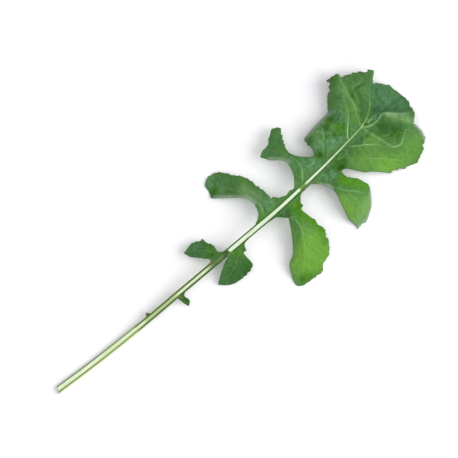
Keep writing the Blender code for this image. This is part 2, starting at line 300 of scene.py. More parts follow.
END_LOBE = (
    (140.1, 4.85), (140.6, 6.9), (140.1, 8.6), (140.6, 9.6, TIP), (140.3, 10.4),
    (140.9, 11.5, TIP), (147.3, 12.4), (153.0, 12.9), (155.2, 13.3, TIP), (159.3, 18.3),
    (161.0, 18.9), (161.6, 20.35), (163.0, 21.2), (162.6, 23.0, TIP), (165.9, 22.6),
    (168.2, 21.9, TIP), (168.0, 20.1, TIP), (172.1, 18.6), (175.6, 16.6, TIP), (176.4, 15.2),
    (178.1, 15.1, TIP), (179.8, 13.7, TIP), (175.9, 10.1, TIP), (177.9, 8.6), (179.0, 7.0),
    (180.5, 5.4), (181.4, 1.5), (182.25, -2.6), (182.25, -5.1), (181.4, -7.1),
    (181.6, -8.5, TIP), (180.0, -10.9), (177.9, -12.5, TIP), (178.35, -15.4), (178.1, -19.4),
    (176.7, -21.3, TIP), (175.1, -21.9), (174.7, -23.3, TIP), (171.6, -24.5),
    (171.3, -25.1, TIP), (170.5, -24.9), (169.4, -25.8, TIP), (167.4, -25.2), (165.2, -24.3),
    (163.8, -24.4, TIP), (162.0, -22.9), (161.1, -23.0, TIP), (159.8, -21.8),
    (157.9, -21.8, TIP), (155.6, -19.2), (152.8, -16.4), (150.5, -15.0, TIP), (147.5, -11.1),
    (146.4, -9.5), (145.3, -8.5), (144.3, -8.1), (143.4, -8.5), (143.1, -9.4))
RIGHT_UPPER_LOBE = (
    (143.5, -10.8), (144.6, -12.6), (146.6, -14.7, TIP), (147.6, -17.6), (148.1, -19.8),
    (145.7, -24.1), (142.8, -27.4), (138.2, -30.1), (136.0, -29.7), (133.4, -30.4, TIP),
    (133.8, -28.4), (133.3, -24.5), (135.1, -17.1), (136.0, -14.2), (135.7, -10.0),
    (132.9, -5.9), (130.8, -4.3), (127.5, -4.3))
RIGHT_MIDDLE_LOBE = (
    (125.0, -4.7), (122.9, -7.0), (123.1, -8.1, TIP), (121.4, -9.4), (122.2, -14.2),
    (122.9, -15.8, TIP), (122.4, -18.2), (123.1, -20.0), (123.2, -21.9, TIP),
    (121.7, -23.9), (121.3, -26.1), (118.0, -30.1), (113.6, -31.6), (111.8, -33.8, TIP),
    (107.0, -33.4), (101.5, -32.6), (100.2, -29.6), (103.2, -23.3), (107.4, -20.4),
    (111.4, -15.1), (115.3, -8.4, TIP), (111.8, -5.2), (109.6, -4.7))
RIGHT_LOW_LOBE = (
    (97.3, -4.4), (95.1, -4.9), (94.0, -7.2, TIP), (92.5, -7.4), (92.4, -12.2),
    (91.1, -14.0), (85.2, -14.6), (80.4, -13.6), (76.4, -10.3, TIP), (79.7, -8.1),
    (84.8, -5.2), (88.0, -4.4))
RIGHT_LOBELET = ((64.4, -3.9), (63.3, -4.9), (63.75, -7.4), (61.9, -9.05, TIP), (61.2, -6.7),
                 (60.6, -3.9))
print("end lobe drawn with", len(END_LOBE), "points")

# %% [markdown]
# ## One line round the blade
# The lobes are joined by the wings into one closed line. A smooth curve through the points
# is broken at each sharp one. Where the blade meets the midrib it has a slot, which runs in
# a little under the pale stripe, and the base of one lobe laps over the midrib.

# %% Sampling and joining the margins
WING_STEP = 9.0                   # spacing of the wings' points
WING_START_STEP = 3.0             # the same where the wings begin
WING_START_EDGE = 1.08            # half the width of stalk and wings there
WING_FULL = 50.0                  # where the wings reach their full width
SLOT_LAP = 0.1                    # how far the blade runs in under the stripe
BASE_LAP = ((85.4, 0), (87.0, 0.5), (88.3, 1.35), (88.9, 0))


def smooth_run(points, step):
    """Sample a curve through the points, from the first up to the last, step apart."""
    first = 2 * Vector(points[0]) - Vector(points[1])
    last = 2 * Vector(points[-1]) - Vector(points[-2])
    knots = [first] + [Vector(p) for p in points] + [last]
    curve = []
    for a, b, c, d in zip(knots, knots[1:], knots[2:], knots[3:]):
        pieces = max(1, round((c - b).length / step))
        for k in range(pieces):
            t = k / pieces
            curve.append(0.5 * (2 * b + (c - a) * t + (2 * a - 5 * b + 4 * c - d) * t ** 2
                                + (3 * b - a - 3 * c + d) * t ** 3))
    return curve


def toothed_line(points, step):
    """Sample an outline that is smooth between its sharp points."""
    line = []
    run = []
    for point in points:
        run.append(point[:2])
        if len(point) == 3:
            line += smooth_run(run, step)
            run = [point[:2]]
    line += smooth_run(run, step) + [Vector(run[-1])]
    return line


def beside_midrib(start, end, offset, step):
    """Points along the midrib, at one side of it: offset is a number or a function."""
    count = max(2, round(abs(end - start) / step) + 1)
    spots = np.linspace(start, end, count)
    return [(x, along(MIDRIB_Y, x) + (offset(x) if callable(offset) else offset))
            for x in spots]


def wing_edge(x):
    """Half the width of stalk and wings, which are narrow where they begin."""
    return float(np.interp(x, (BLADE_START, WING_FULL), (WING_START_EDGE, WING_EDGE)))


def slot_half_width(x):
    """Half the width of the blade's slot, which the midrib's pale stripe fills."""
    return along(STRIPE_HALF_WIDTH, x) - SLOT_LAP


def outer_margin(step):
    """The blade's outline round all its lobes, from the left wing to the right wing."""
    return toothed_line(
        beside_midrib(BLADE_START, 45.4, wing_edge, WING_START_STEP) + list(LEFT_TOOTH)
        + beside_midrib(WING_FULL, 78.0, WING_EDGE, WING_STEP) + list(LEFT_LOW_LOBE)
        + beside_midrib(90.0, 102.0, WING_EDGE, WING_STEP) + list(LEFT_MIDDLE_LOBE)
        + list(LEFT_UPPER_LOBE) + list(END_LOBE) + list(RIGHT_UPPER_LOBE)
        + list(RIGHT_MIDDLE_LOBE) + beside_midrib(107.5, 99.5, -WING_EDGE, WING_STEP)
        + list(RIGHT_LOW_LOBE) + beside_midrib(86.0, 66.0, -WING_EDGE, WING_STEP)
        + list(RIGHT_LOBELET) + beside_midrib(59.0, WING_FULL, -WING_EDGE, WING_STEP)
        + beside_midrib(47.0, BLADE_START, lambda x: -wing_edge(x), WING_START_STEP), step)


def lap(x):
    """How far the low right lobe's base laps over the midrib at x."""
    return float(np.interp(x, *zip(*BASE_LAP)))


def slot_margin(step):
    """The sides of the slot that the midrib fills, from its right side to its left."""
    return (beside_midrib(BLADE_START, MIDRIB_END, lambda x: lap(x) - slot_half_width(x), step)
            + beside_midrib(MIDRIB_END, BLADE_START, slot_half_width, step))


print("one line round the blade, with", len(outer_margin(WING_STEP)), "points at the least")

# %% [markdown]
# ## Fine teeth
# Between the large teeth the margin of a real leaf has many small ones, no two alike. They
# are too many to draw, and all alike they would look cut out. So a rule walks along the
# margin and raises them, with lengths and heights from a seeded random draw. Some
# stretches of margin are smooth, and these are listed.

# %% Fine teeth between the drawn ones
EDGE_STEP = 0.32                  # spacing of the points on the margin
TOOTH_LENGTHS = (1.6, 3.4)
TOOTH_HEIGHTS = (0.2, 0.6)
TOOTH_FOOT = 0.35                 # the share of its height that a tooth cuts in at its foot
TEETH_START = 2.2                 # how far from the midrib the teeth begin to rise
TEETH_RISE = 2.0                  # over how much further they reach their full height
LOW_SIDE_SHARE = 0.3              # how high they are where the margin faces the cut end
LOW_SIDE = -0.1                   # the most that its outward way's X may be to count as that
SMOOTH_PLACES = (                 # (x, y, radius) of stretches of margin without fine teeth
    (142, -22, 10), (136, 9, 6), (128.5, 8, 6), (92.4, -10.6, 3.4), (148, 13, 7.5),
    (152, -15, 8), (110, -14, 9), (76, 4.5, 4.6), (81, -7.5, 4), (122, -13, 4.2),
    (122.6, -19, 2.4), (62.4, -7, 3))


def with_fine_teeth(line):
    """Raise small uneven teeth on the margin, lower where it faces the stalk's cut end."""
    draw = random.Random(11)
    toothed = []
    left, length, height = 0.0, 1.0, 0.0
    for before, spot, after in zip(line[-1:] + line[:-1], line, line[1:] + line[:1]):
        run = after - before
        left -= (spot - before).length
        if left <= 0:
            length = draw.uniform(*TOOTH_LENGTHS)
            height = draw.uniform(*TOOTH_HEIGHTS)
            left = length
        outward = Vector((-run.y, run.x)).normalized()
        from_midrib = abs(spot.y - along(MIDRIB_Y, spot.x))
        share = min(max((from_midrib - TEETH_START) / TEETH_RISE, 0), 1)
        if outward.x <= LOW_SIDE:
            share *= LOW_SIDE_SHARE
        if any(math.hypot(spot.x - x, spot.y - y) < radius for x, y, radius in SMOOTH_PLACES):
            share = 0
        toothed.append(spot + outward * (height * share * (left / length - TOOTH_FOOT)))
    return toothed


def tree_of(spots):
    """A search tree over flat places."""
    tree = kdtree.KDTree(len(spots))
    for k, spot in enumerate(spots):
        tree.insert((spot[0], spot[1], 0), k)
    tree.balance()
    return tree


leaf_edge = with_fine_teeth(outer_margin(EDGE_STEP))
edge_tree = tree_of(leaf_edge)
print("outline of", len(leaf_edge), "points")


def from_margin(xy):
    """How far each place is from the blade's margin."""
    return np.array([edge_tree.find((x, y, 0))[2] for x, y in xy])


# %% [markdown]
# ## The leaf's rise and fall
# A lying leaf is no flat cut-out. Its midrib arches up from the table, and the side lobes
# droop until some of their tips touch it. A cage under a subdivision surface could give
# that, but its points would have to follow the outline. A height field needs no such care:
# a few heights are given, and a thin plate bends as little as it can through all of them.

# %% Heights of the blade's underside away from the midrib, as (x, y, height)
BLADE_HEIGHTS = (
    (62, -8, 2.4), (77, 7, 3.6), (82, 5, 5.1), (91, -8, 5.6), (84, -11, 3.0), (77, -10, 1.6),
    (111, 5, 8.0), (109, 12, 5.8), (104, 19, 1.9), (98.5, 21, -0.3), (103, 24.5, -0.5),
    (128, 3, 7.9), (131, 12, 7.2), (124, 17, 5.4), (135, 21, 4.0),
    (118, -9, 7.9), (118, -17, 6.8), (119, -25, 3.8), (110, -27, 2.2), (102, -31, -0.5),
    (110.5, -33, -0.4), (138, -9, 7.2), (141, -17, 7.0), (142, -24, 4.0), (135, -29.5, -0.3),
    (141, -28, 0.4), (143, 6, 7.2), (149, 7, 7.0), (143, 10, 6.6), (150, 10.4, 6.0),
    (142, 12.2, 2.4), (150, 13.0, 2.0), (155.6, 14.2, 2.4), (160, 18.6, 3.0), (163, 21.6, 3.6),
    (157, 9, 6.2), (161.6, 15, 5.6), (166.5, 21, 5.2), (171, 12, 5.6), (178, 14, 4.2),
    (172, 0, 4.0), (181, -3, 2.6), (166, -9, 5.2), (155, -8, 6.2), (150, -11, 5.0),
    (160, -18, 3.2), (173, -16, 4.0), (178, -18, 2.4), (166, -24.5, 0.2), (173, -24, 0.4))


def thin_plate(points):
    """A height field that bends as little as it can through all the points (x, y, z)."""
    points = np.array(points, float)
    spots = points[:, :2]

    def influence(distance):
        return distance ** 2 * np.log(np.maximum(distance, 1e-6))

    def plane(xy):
        return np.hstack([np.ones((len(xy), 1)), xy])

    gaps = np.linalg.norm(spots[:, None] - spots[None], axis=2)
    count = len(points)
    system = np.zeros((count + 3, count + 3))
    system[:count, :count] = influence(gaps)
    system[:count, count:] = plane(spots)
    system[count:, :count] = plane(spots).T
    weights = np.linalg.solve(system, np.append(points[:, 2], [0, 0, 0]))

    def height(xy):
        reach = np.linalg.norm(xy[:, None] - spots[None], axis=2)
        return influence(reach) @ weights[:count] + plane(xy) @ weights[count:]

    return height


print("blade hung on", len(BLADE_HEIGHTS), "heights")

# %% [markdown]
# ## The folds of the end lobe
# The end lobe is gathered in folds that start at the end of the midrib, and its left edge
# is turned down. They could be sculpted or simulated as cloth, but then their crests would
# lie by chance. Here each crest is a drawn line. The blade rises gently to it on one side
# and drops steeply on the other, and near the crest it is pushed sideways, so that the
# crest hangs over its foot.

# %% Folds, as (crest line, side that lies lower, rise, drop's width at start and end, run-in)
LEFT = 1.0
RIGHT = -1.0
UPPER_CREST = ((161.2, 0.6), (162.6, 3.8), (164.2, 7.4), (165.1, 11.0), (165.9, 15.0),
               (167.4, 19.8), (169.4, 25.0))
MIDDLE_CREST = ((161.9, 0.3), (165.0, 1.1), (168.2, 2.8), (170.4, 5.2), (173.0, 8.0),
                (176.4, 10.4), (182.0, 15.0))
LOWER_CREST = ((161.7, -0.6), (163.6, -1.9), (166.0, -2.4), (168.4, -2.2), (170.6, -1.4),
               (172.4, -2.4), (174.4, -4.3), (176.6, -6.3), (178.8, -8.2), (181.6, -10.4))
TURNED_EDGE = ((139.6, 10.7), (144.0, 11.0), (149.0, 11.3), (153.2, 12.0), (156.4, 14.6),
               (159.0, 17.6))
FOLDS = (
    (UPPER_CREST, RIGHT, 3.3, (0.9, 1.3), 4.0),
    (MIDDLE_CREST, RIGHT, 3.1, (0.9, 1.4), 5.0),
    (LOWER_CREST, LEFT, 2.7, (1.8, 3.4), 6.5),
    (TURNED_EDGE, LEFT, 1.0, (0.8, 0.8), 3.0))
FOLD_SLOPE = 6.0                  # how wide the gentle side is
FOLD_FOOT = 0.35                  # how deep the foot of the steep side sinks, of the rise
OVERHANG = 1.1                    # how far a crest leans over
OVERHANG_WIDTH = 0.85
OVERHANG_INSET = 1.8              # the overhang fades out this near to the margin
LINE_STEP = 1.0                   # spacing of the points that a drawn line is sampled at


def beside_line(xy, line):
    """How far left of a line each place is, the share of the line passed, and the way left."""
    line = np.array(smooth_run(line, LINE_STEP) + [Vector(line[-1])])
    run = line[1:] - line[:-1]
    offset = xy[:, None] - line[None, :-1]
    t = np.clip((offset * run).sum(2) / (run ** 2).sum(1), 0, 1)
    near = offset - t[:, :, None] * run
    distance = np.linalg.norm(near, axis=2)
    nearest = distance.argmin(1)
    rows = np.arange(len(xy))
    way = run[nearest]
    turned = way[:, 0] * near[rows, nearest, 1] - way[:, 1] * near[rows, nearest, 0]
    left = np.stack([-way[:, 1], way[:, 0]], axis=1) / np.linalg.norm(way, axis=1)[:, None]
    share = (nearest + t[rows, nearest]) / len(run)
    return distance[rows, nearest] * np.sign(turned), share, left


def fold(xy, line, low_side, rise, drops, run_in):
    """How much one fold lifts the blade at each place, and where it pushes it sideways."""
    across, share, left = beside_line(xy, line)
    from_start = np.linalg.norm(xy - line[0], axis=1)
    grown = 1 - np.exp(-(from_start / run_in) ** 2)
    away = across * low_side + OVERHANG * grown
    drop = drops[0] + (drops[1] - drops[0]) * share
    gentle = np.exp(-(np.minimum(away, 0) / FOLD_SLOPE) ** 2)
    foot = FOLD_FOOT * np.exp(-np.maximum(away - 2 * drop, 0) / FOLD_SLOPE)
    steep = (1 + foot) * np.exp(-(np.maximum(away, 0) / drop) ** 2) - foot
    lift = rise * grown * np.where(away < 0, gentle, steep)
    inside = 1 - np.exp(-(from_margin(xy) / OVERHANG_INSET) ** 2)
    push = OVERHANG * grown * inside * np.exp(-(away / OVERHANG_WIDTH) ** 2)
    return lift, left * (low_side * push)[:, None]


print(len(FOLDS), "folds, the highest", max(shape[2] for shape in FOLDS), "mm")

# %% [markdown]
# ## Creases and puckers
# Between its folds the blade isn't smooth: the large veins pull it into sharp valleys and
# ridges, and it puckers beside the midrib. Both are small height changes on top of the
# plate, creases along drawn lines and puckers at single spots. A texture could only feign
# them, and they show from the side too.

# %% Creases, ridges and puckers
CREASES = (                       # (line, height, width), below the blade where negative
    (((161.6, -2.2), (162.4, -5.0), (163.8, -9.4), (165.0, -13.2), (165.4, -16.4)), 0.6, 1.2),
    (((164.4, -2.8), (167.0, -6.4), (169.6, -10.0), (169.4, -13.4)), -1.9, 2.6),
    (((165.2, -14.0), (168.2, -15.6), (171.0, -14.4), (175.2, -12.6)), 0.5, 0.8),
    (((154.2, 0.2), (157.4, 4.0), (161.0, 8.0), (164.0, 15.0)), -0.8, 1.4),
    (((165.0, 3.2), (167.6, 8.0), (170.6, 14.6)), -0.8, 2.2),
    (((142.0, -0.6), (144.4, 3.2), (147.6, 7.4), (149.6, 10.4)), -0.7, 1.3),
    (((152.0, -2.4), (156.6, -5.6), (161.0, -9.2)), 0.5, 1.6),
    (((115.4, -8.0), (116.8, -11.6), (114.8, -17.6), (109.6, -25.2), (104.0, -31.0)), 1.1, 3.0),
    (((136.6, -9.6), (139.6, -14.8), (145.6, -21.6)), 0.9, 2.4),
    (((110.6, 1.0), (110.8, 7.0), (107.6, 14.0), (101.4, 21.6)), 0.6, 2.2),
    (((82.4, 0.0), (81.4, 3.6), (76.4, 7.8)), -0.5, 1.4),
    (((91.0, -6.0), (86.0, -9.4), (79.0, -10.8)), 0.6, 2.0))
PUCKERS = (                       # (x, y, radius, height)
    (87.4, -3.1, 1.5, 0.85), (141.0, 2.6, 1.0, -0.9), (144.4, -6.2, 1.5, -1.1),
    (149.2, 9.0, 1.3, -0.8), (154.6, 10.2, 1.5, -0.9), (146.6, 9.2, 1.1, 0.5),
    (152.0, 7.6, 1.5, 0.7), (155.6, 4.6, 1.2, -0.5), (151.4, 3.6, 1.5, 0.5),
    (145.4, 2.4, 1.3, 0.5), (148.4, -3.8, 1.2, -0.5), (151.6, -4.4, 1.1, 0.4),
    (140.0, -5.8, 1.3, 0.5), (136.4, 2.0, 1.3, 0.4), (165.6, -1.2, 0.8, -0.4),
    (157.0, 12.2, 1.5, 0.5), (160.0, 3.0, 1.2, -0.4))
CREASE_ENDS = (0.2, 0.3)          # the shares of its line over which a crease comes and goes
CREASE_ROUNDING = 0.1
MIDRIB_START = 46.0
MIDRIB_SPOTS = np.arange(MIDRIB_START, 162.0, 8.0)


def crease(xy, line, height, width):
    """A sharp valley or ridge along a line, which fades out at both ends."""
    across, share, _ = beside_line(xy, line)
    ends = np.clip(share / CREASE_ENDS[0], 0, 1) * np.clip((1 - share) / CREASE_ENDS[1], 0, 1)
    return height * ends * np.exp(-np.sqrt(across ** 2 + CREASE_ROUNDING) / width)


def pucker(xy, x, y, radius, height):
    """A soft round hump, or a dip where the height is negative."""
    return height * np.exp(-((xy[:, 0] - x) ** 2 + (xy[:, 1] - y) ** 2) / radius ** 2)


def near_midrib(xy):
    """1 beside the midrib, where the blade grows level out of it, and 0 away from it."""
    beside = np.abs(xy[:, 1] - along(MIDRIB_Y, xy[:, 0]))
    beyond_end = np.maximum(xy[:, 0] - MIDRIB_END, 0)
    return np.exp(-np.maximum(np.hypot(beside, beyond_end) - WING_EDGE, 0) ** 2 / 4)


def lay_blade(xy):
    """Where each place of the flat blade comes to lie, and how high, before fine detail."""
    midrib = [(x, along(MIDRIB_Y, x), along(MIDRIB_Z, x)) for x in MIDRIB_SPOTS]
    height = thin_plate(list(BLADE_HEIGHTS) + midrib)(xy)
    moved = xy.copy()
    level = near_midrib(xy)
    for shape in FOLDS:
        lift, push = fold(xy, *shape)
        height += lift
        moved += push * (1 - level)[:, None]
    for line, rise, width in CREASES:
        height += crease(xy, line, rise, width)
    height = level * along(MIDRIB_Z, xy[:, 0]) + (1 - level) * height
    for spot in PUCKERS:
        height += pucker(xy, *spot)
    return moved, height


print("first fold stands", round(float(lay_blade(np.array([[163.6, 13.5]]))[1][0]), 1), "mm high")

# %% [markdown]
# ## The main veins
# Each lobe has a main vein that leaves the midrib, and only a few of them show as thin
# pale lines. They are what the eye follows over a leaf, so they are drawn one by one, each
# with how pale it is from place to place.

# %% Main veins, as (width at the start, points), where a point is (x, y, how pale)
MAIN_VEINS = (
    (0.24, ((62.1, -3.2, 0.2), (62.3, -6.0, 0.2), (62.0, -8.2, 0))),
    (0.30, ((82.9, -2.2, 0), (83.2, 0.6, 0.1), (82.4, 2.8, 0.3), (80.0, 5.0, 0.3),
            (76.6, 7.6, 0))),
    (0.32, ((92.0, -3.6, 0), (90.2, -6.4, 0.1), (87.4, -8.6, 0.3), (84.0, -10.0, 0.2),
            (79.0, -10.6, 0))),
    (0.20, ((89.0, -7.8, 0.2), (89.2, -10.8, 0.1), (87.8, -13.2, 0))),
    (0.32, ((108.8, -1.0, 0.2), (109.6, 0.6, 0.7), (110.0, 3.4, 0.7), (110.0, 6.4, 0.4),
            (108.6, 10.0, 0.2), (107.0, 13.0, 0.4), (104.4, 17.0, 0.4), (101.4, 22.0, 0.1))),
    (0.28, ((129.0, -1.2, 0.5), (130.2, 0.2, 1.1), (131.4, 1.8, 1.1), (132.2, 3.4, 0.5),
            (132.8, 6.0, 0.5), (131.8, 9.4, 0.1), (130.6, 13.0, 0.1), (131.6, 17.0, 0.2),
            (133.6, 20.6, 0))),
    (0.22, ((130.4, 12.8, 0.1), (128.2, 15.4, 0.1), (125.0, 16.8, 0))),
    (0.32, ((141.2, -0.8, 0.1), (143.2, 2.0, 0.4), (145.6, 4.6, 0.5), (147.8, 7.6, 0.5),
            (149.4, 10.4, 0.2))),
    (0.36, ((153.8, -0.4, 0.8), (155.4, 1.9, 1.2), (157.4, 4.0, 1.2), (159.3, 5.9, 1.1),
            (161.0, 7.8, 0.7), (162.2, 10.2, 0.1), (163.2, 13.4, 0.1), (164.2, 17.2, 0.1),
            (164.8, 20.2, 0))),
    (0.22, ((158.6, 5.2, 0.1), (159.4, 9.0, 0.1), (159.6, 13.0, 0.1), (160.4, 16.6, 0))),
    (0.26, ((165.6, 11.2, 0), (167.0, 12.4, 0.1), (168.6, 13.8, 0.4), (170.2, 15.6, 0.4),
            (171.6, 17.4, 0.2))),
    (0.24, ((166.4, 2.4, 0), (168.0, 6.4, 0.1), (171.0, 10.4, 0.1), (175.0, 12.8, 0))),
    (0.26, ((166.6, 0.6, 0.1), (170.6, 2.4, 0.1), (175.0, 4.4, 0.2), (179.0, 5.6, 0))),
    (0.22, ((170.6, 2.4, 0.1), (175.0, 1.0, 0.1), (180.0, -1.4, 0))),
    (0.34, ((151.4, -1.9, 0), (152.9, -3.3, 0.6), (155.0, -4.8, 1.0), (157.2, -6.3, 0.7),
            (159.4, -8.0, 1.0), (161.6, -9.8, 0.5), (163.4, -12.6, 0.1), (166.6, -17.0, 0.1),
            (169.2, -21.4, 0))),
    (0.28, ((146.2, -2.5, 0), (149.4, -6.2, 0.1), (152.4, -9.2, 0.1), (155.2, -11.7, 0.5),
            (158.2, -14.2, 0.6), (160.8, -16.7, 0.4), (163.4, -19.4, 0.5), (165.4, -22.4, 0))),
    (0.34, ((165.0, -13.6, 0.4), (166.4, -15.1, 1.1), (168.2, -15.6, 1.2), (169.7, -15.3, 1.2),
            (171.2, -14.3, 1.0), (173.0, -13.0, 0.7), (175.2, -12.6, 0.2))),
    (0.20, ((160.6, -1.2, 0), (164.4, -5.4, 0), (165.4, -8.9, 0.1), (167.6, -9.6, 0.25),
            (170.4, -9.8, 0.15), (173.4, -9.6, 0))),
    (0.44, ((160.4, -0.4, 1.0), (162.0, 0.0, 1.0), (163.6, 0.5, 0.7), (165.2, 1.2, 0.4),
            (168.0, 2.9, 0.1))),
    (0.26, ((131.4, -3.0, 0), (135.0, -5.8, 0), (137.2, -11.0, 0.2), (138.8, -13.8, 0.7),
            (140.6, -16.2, 0.7), (142.6, -18.0, 0.6), (144.0, -20.0, 0.5), (145.4, -22.2, 0.1))),
    (0.26, ((139.4, -14.6, 0.3), (140.4, -18.6, 0.6), (140.8, -22.4, 0.4), (140.4, -26.4, 0.1))),
    (0.26, ((113.6, -4.2, 0), (115.2, -7.6, 0), (116.5, -10.2, 0.5), (116.8, -12.2, 0.8),
            (116.2, -15.6, 0.8), (114.0, -19.4, 0.6), (110.2, -24.2, 0.6), (106.8, -27.8, 0.7),
            (104.2, -30.4, 0.2))),
    (0.22, ((116.4, -13.8, 0.1), (118.8, -18.0, 0.2), (120.0, -22.6, 0))),
    (0.22, ((112.8, -21.0, 0.1), (113.8, -25.6, 0.2), (112.4, -30.0, 0))))
print(len(MAIN_VEINS), "main veins")

# %% [markdown]
# ## The side veins
# The main veins send out side veins to both sides in turn, which bend towards the tip and
# stop short of the margin or of another vein. There are hundreds, and they barely show:
# the blade bulges a little between them. A Voronoi pattern would make a net without an
# order, so a small rule grows them as a leaf does, the large ones before the small ones.

# %% A rule that grows the side veins
VEIN_STEP = 0.5
MARGIN_GAP = 1.0                  # how near to the margin a side vein may come
NEIGHBOUR_GAP = 1.0               # how near to another vein
FREE_START = 1.2                  # it may be nearer to its parent over this first stretch
SIDE_PALE_MOST = 0.3
SIDE_LEAN = (48, 62)              # the angle between a side vein and its parent, in degrees
SIDE_BEND = 16                    # a side vein would turn back to its parent's way over this
SIDE_SHARE = 0.6                  # a side vein's width and paleness, of its parent's
MIDRIB_VEIN_WIDTH = 0.3
SIDE_SPACING, SIDE_LENGTH = 2.6, 9.0
MIDRIB_SPACING, MIDRIB_LENGTH = 2.4, 8.0
FINE_SPACING, FINE_LENGTH = 2.2, 4.0

edge_points = np.array(leaf_edge)


def is_inside(spot):
    """Whether a place is on the blade, by counting the margin's crossings to its right."""
    x, y = spot
    ends = np.roll(edge_points, -1, axis=0)
    crossing = (edge_points[:, 1] > y) != (ends[:, 1] > y)
    a, b = edge_points[crossing], ends[crossing]
    return ((y - a[:, 1]) / (b[:, 1] - a[:, 1]) * (b[:, 0] - a[:, 0]) + a[:, 0] > x).sum() % 2 == 1


def grow_vein(start, heading, bend, length, taken):
    """Walk from a vein across the blade until the length, the margin or a vein is reached."""
    spots = [start.xy]
    walked = 0.0
    while walked < length:
        spot = spots[-1] + Vector((math.cos(heading), math.sin(heading))) * VEIN_STEP
        if not is_inside(spot):
            break
        if np.hypot(*(edge_points - spot).T).min() < MARGIN_GAP:
            break
        if walked > FREE_START and np.hypot(*(taken - spot).T).min() < NEIGHBOUR_GAP:
            break
        spots.append(spot)
        heading += bend * VEIN_STEP
        walked += VEIN_STEP
    return spots


def side_veins(parents, spacing, length, draw, taken):
    """Veins that leave each parent on both sides in turn and bend towards its tip."""
    children = []
    for width, line in parents:
        walked = spacing * draw.uniform(0.4, 0.9)
        side = 1
        for a, b in zip(line, line[1:]):
            walked += (b - a).xy.length
            if walked < spacing:
                continue
            walked = draw.uniform(-0.25, 0.25) * spacing
            heading = math.atan2(b.y - a.y, b.x - a.x)
            lean = math.radians(draw.uniform(*SIDE_LEAN))
            spots = grow_vein(b, heading + side * lean, -side * lean / SIDE_BEND, length, taken)
            side = -side
            if len(spots) > 3:
                pale = min(b.z, SIDE_PALE_MOST) * SIDE_SHARE
                children.append((width * SIDE_SHARE, [Vector((*spot, pale)) for spot in spots]))
                taken = np.vstack([taken, [tuple(spot) for spot in spots]])
    return children, taken


def grow_all_veins():
    """The drawn veins, the side veins of these and of the midrib, and the finest ones."""
    draw = random.Random(7)
    mains = [(width, smooth_run(points, VEIN_STEP)) for width, points in MAIN_VEINS]
    midrib = [Vector((*p, SIDE_PALE_MOST))
              for p in beside_midrib(MIDRIB_START, MIDRIB_END, 0.0, VEIN_STEP)]
    taken = np.array([tuple(s.xy) for line in [m[1] for m in mains] + [midrib] for s in line])
    sides, taken = side_veins(mains, SIDE_SPACING, SIDE_LENGTH, draw, taken)
    extra, taken = side_veins([(MIDRIB_VEIN_WIDTH, midrib)], MIDRIB_SPACING, MIDRIB_LENGTH,
                              draw, taken)
    fine, taken = side_veins(sides + extra, FINE_SPACING, FINE_LENGTH, draw, taken)
    return mains, sides + extra, fine


main_veins, side_vein_lines, fine_veins = grow_all_veins()
print("veins:", len(main_veins), "main,", len(side_vein_lines), "side,", len(fine_veins), "fine")

# %% [markdown]
# ## The blade's fine relief
# Seen close, the upper side of the blade is quilted: it sinks in along every vein, ripples
# in between, crinkles beside the midrib and waves at its margin. Bump in a material would
# be lost from the side, so all of it goes into the heights of the mesh.

# %% Surface detail of the blade
BLADE_THICKNESS = 0.35
BLADE_MIDDLE = 0.28               # height of the real blade's middle over the solid's underside
QUILT_DEPTH = 0.26
QUILT_WIDTH = 0.8                 # how far from a vein the blade is still sunk
QUILT_LIFT = 0.55                 # how far the places between veins rise, of the depth
FREE_WIDTH = 2.0                  # the relief grows to its full height over this, from the wings
RIPPLE = 0.2
CRINKLE = 0.8
CRINKLE_REACH = 7.0               # how far from the midrib the crinkles reach
EDGE_WAVE = 0.5
EDGE_WAVE_REACH = 1.6
VEIN_TAPER = 0.65                 # how much of its width a vein loses up to its end
SAMPLE_STEP = 0.12                # spacing of the places along a vein


def vein_samples(veins):
    """Places close together along all the veins, each with its width and paleness there."""
    samples = []
    for width, line in veins:
        line = smooth_run(line, SAMPLE_STEP)
        for k, spot in enumerate(line):
            samples.append((spot.x, spot.y, width * (1 - VEIN_TAPER * k / len(line)), spot.z))
    return np.array(samples)


veins_everywhere = vein_samples(main_veins + side_vein_lines + fine_veins)
vein_tree = tree_of(veins_everywhere)


def nearest_vein(xy):
    """For each place, the distance to the nearest vein, and its width and paleness there."""
    found = [vein_tree.find((x, y, 0)) for x, y in xy]
    rows = [f[1] for f in found]
    return np.array([f[2] for f in found]), veins_everywhere[rows, 2], veins_everywhere[rows, 3]


def smooth_noise(xy, size, layer):
    """Smooth noise between about -1 and 1, with waves of the size given."""
    return np.array([noise.noise((x / size, y / size, layer)) for x, y in xy])


def blade_middle(xy):
    """Places and heights of the middle of the real blade, with its quilting and ripples."""
    distance, _, _ = nearest_vein(xy)
    quilt = QUILT_DEPTH * (QUILT_LIFT - np.exp(-(distance / QUILT_WIDTH) ** 2))
    beside = np.abs(xy[:, 1] - along(MIDRIB_Y, xy[:, 0]))
    free = np.clip((beside - WING_EDGE) / FREE_WIDTH, 0, 1)
    free[xy[:, 0] > MIDRIB_END] = 1
    ripple = RIPPLE * (smooth_noise(xy, 6.5, 3.7) + 0.6 * smooth_noise(xy, 2.7, 8.1))
    ripple += CRINKLE * np.exp(-(beside / CRINKLE_REACH) ** 2) * smooth_noise(xy, 2.0, 1.9)
    wave = EDGE_WAVE * np.exp(-from_margin(xy) / EDGE_WAVE_REACH) * smooth_noise(xy, 4.2, 5.3)
    moved, height = lay_blade(xy)
    height = np.maximum(height, 0) + BLADE_MIDDLE + (quilt + ripple + wave) * free
    return moved, np.maximum(height, BLADE_THICKNESS / 2)


print("relief over", len(veins_everywhere), "places on the veins")

# %% [markdown]
# ## The blade as a flat mesh
# A blade is a thin sheet with a sharp outline. A ready-made grid would leave its margin in
# steps. So one flat face in the shape of the outline is cut by many parallel planes into a
# fine grid, which keeps the exact margin. It is laid in its folds afterwards.

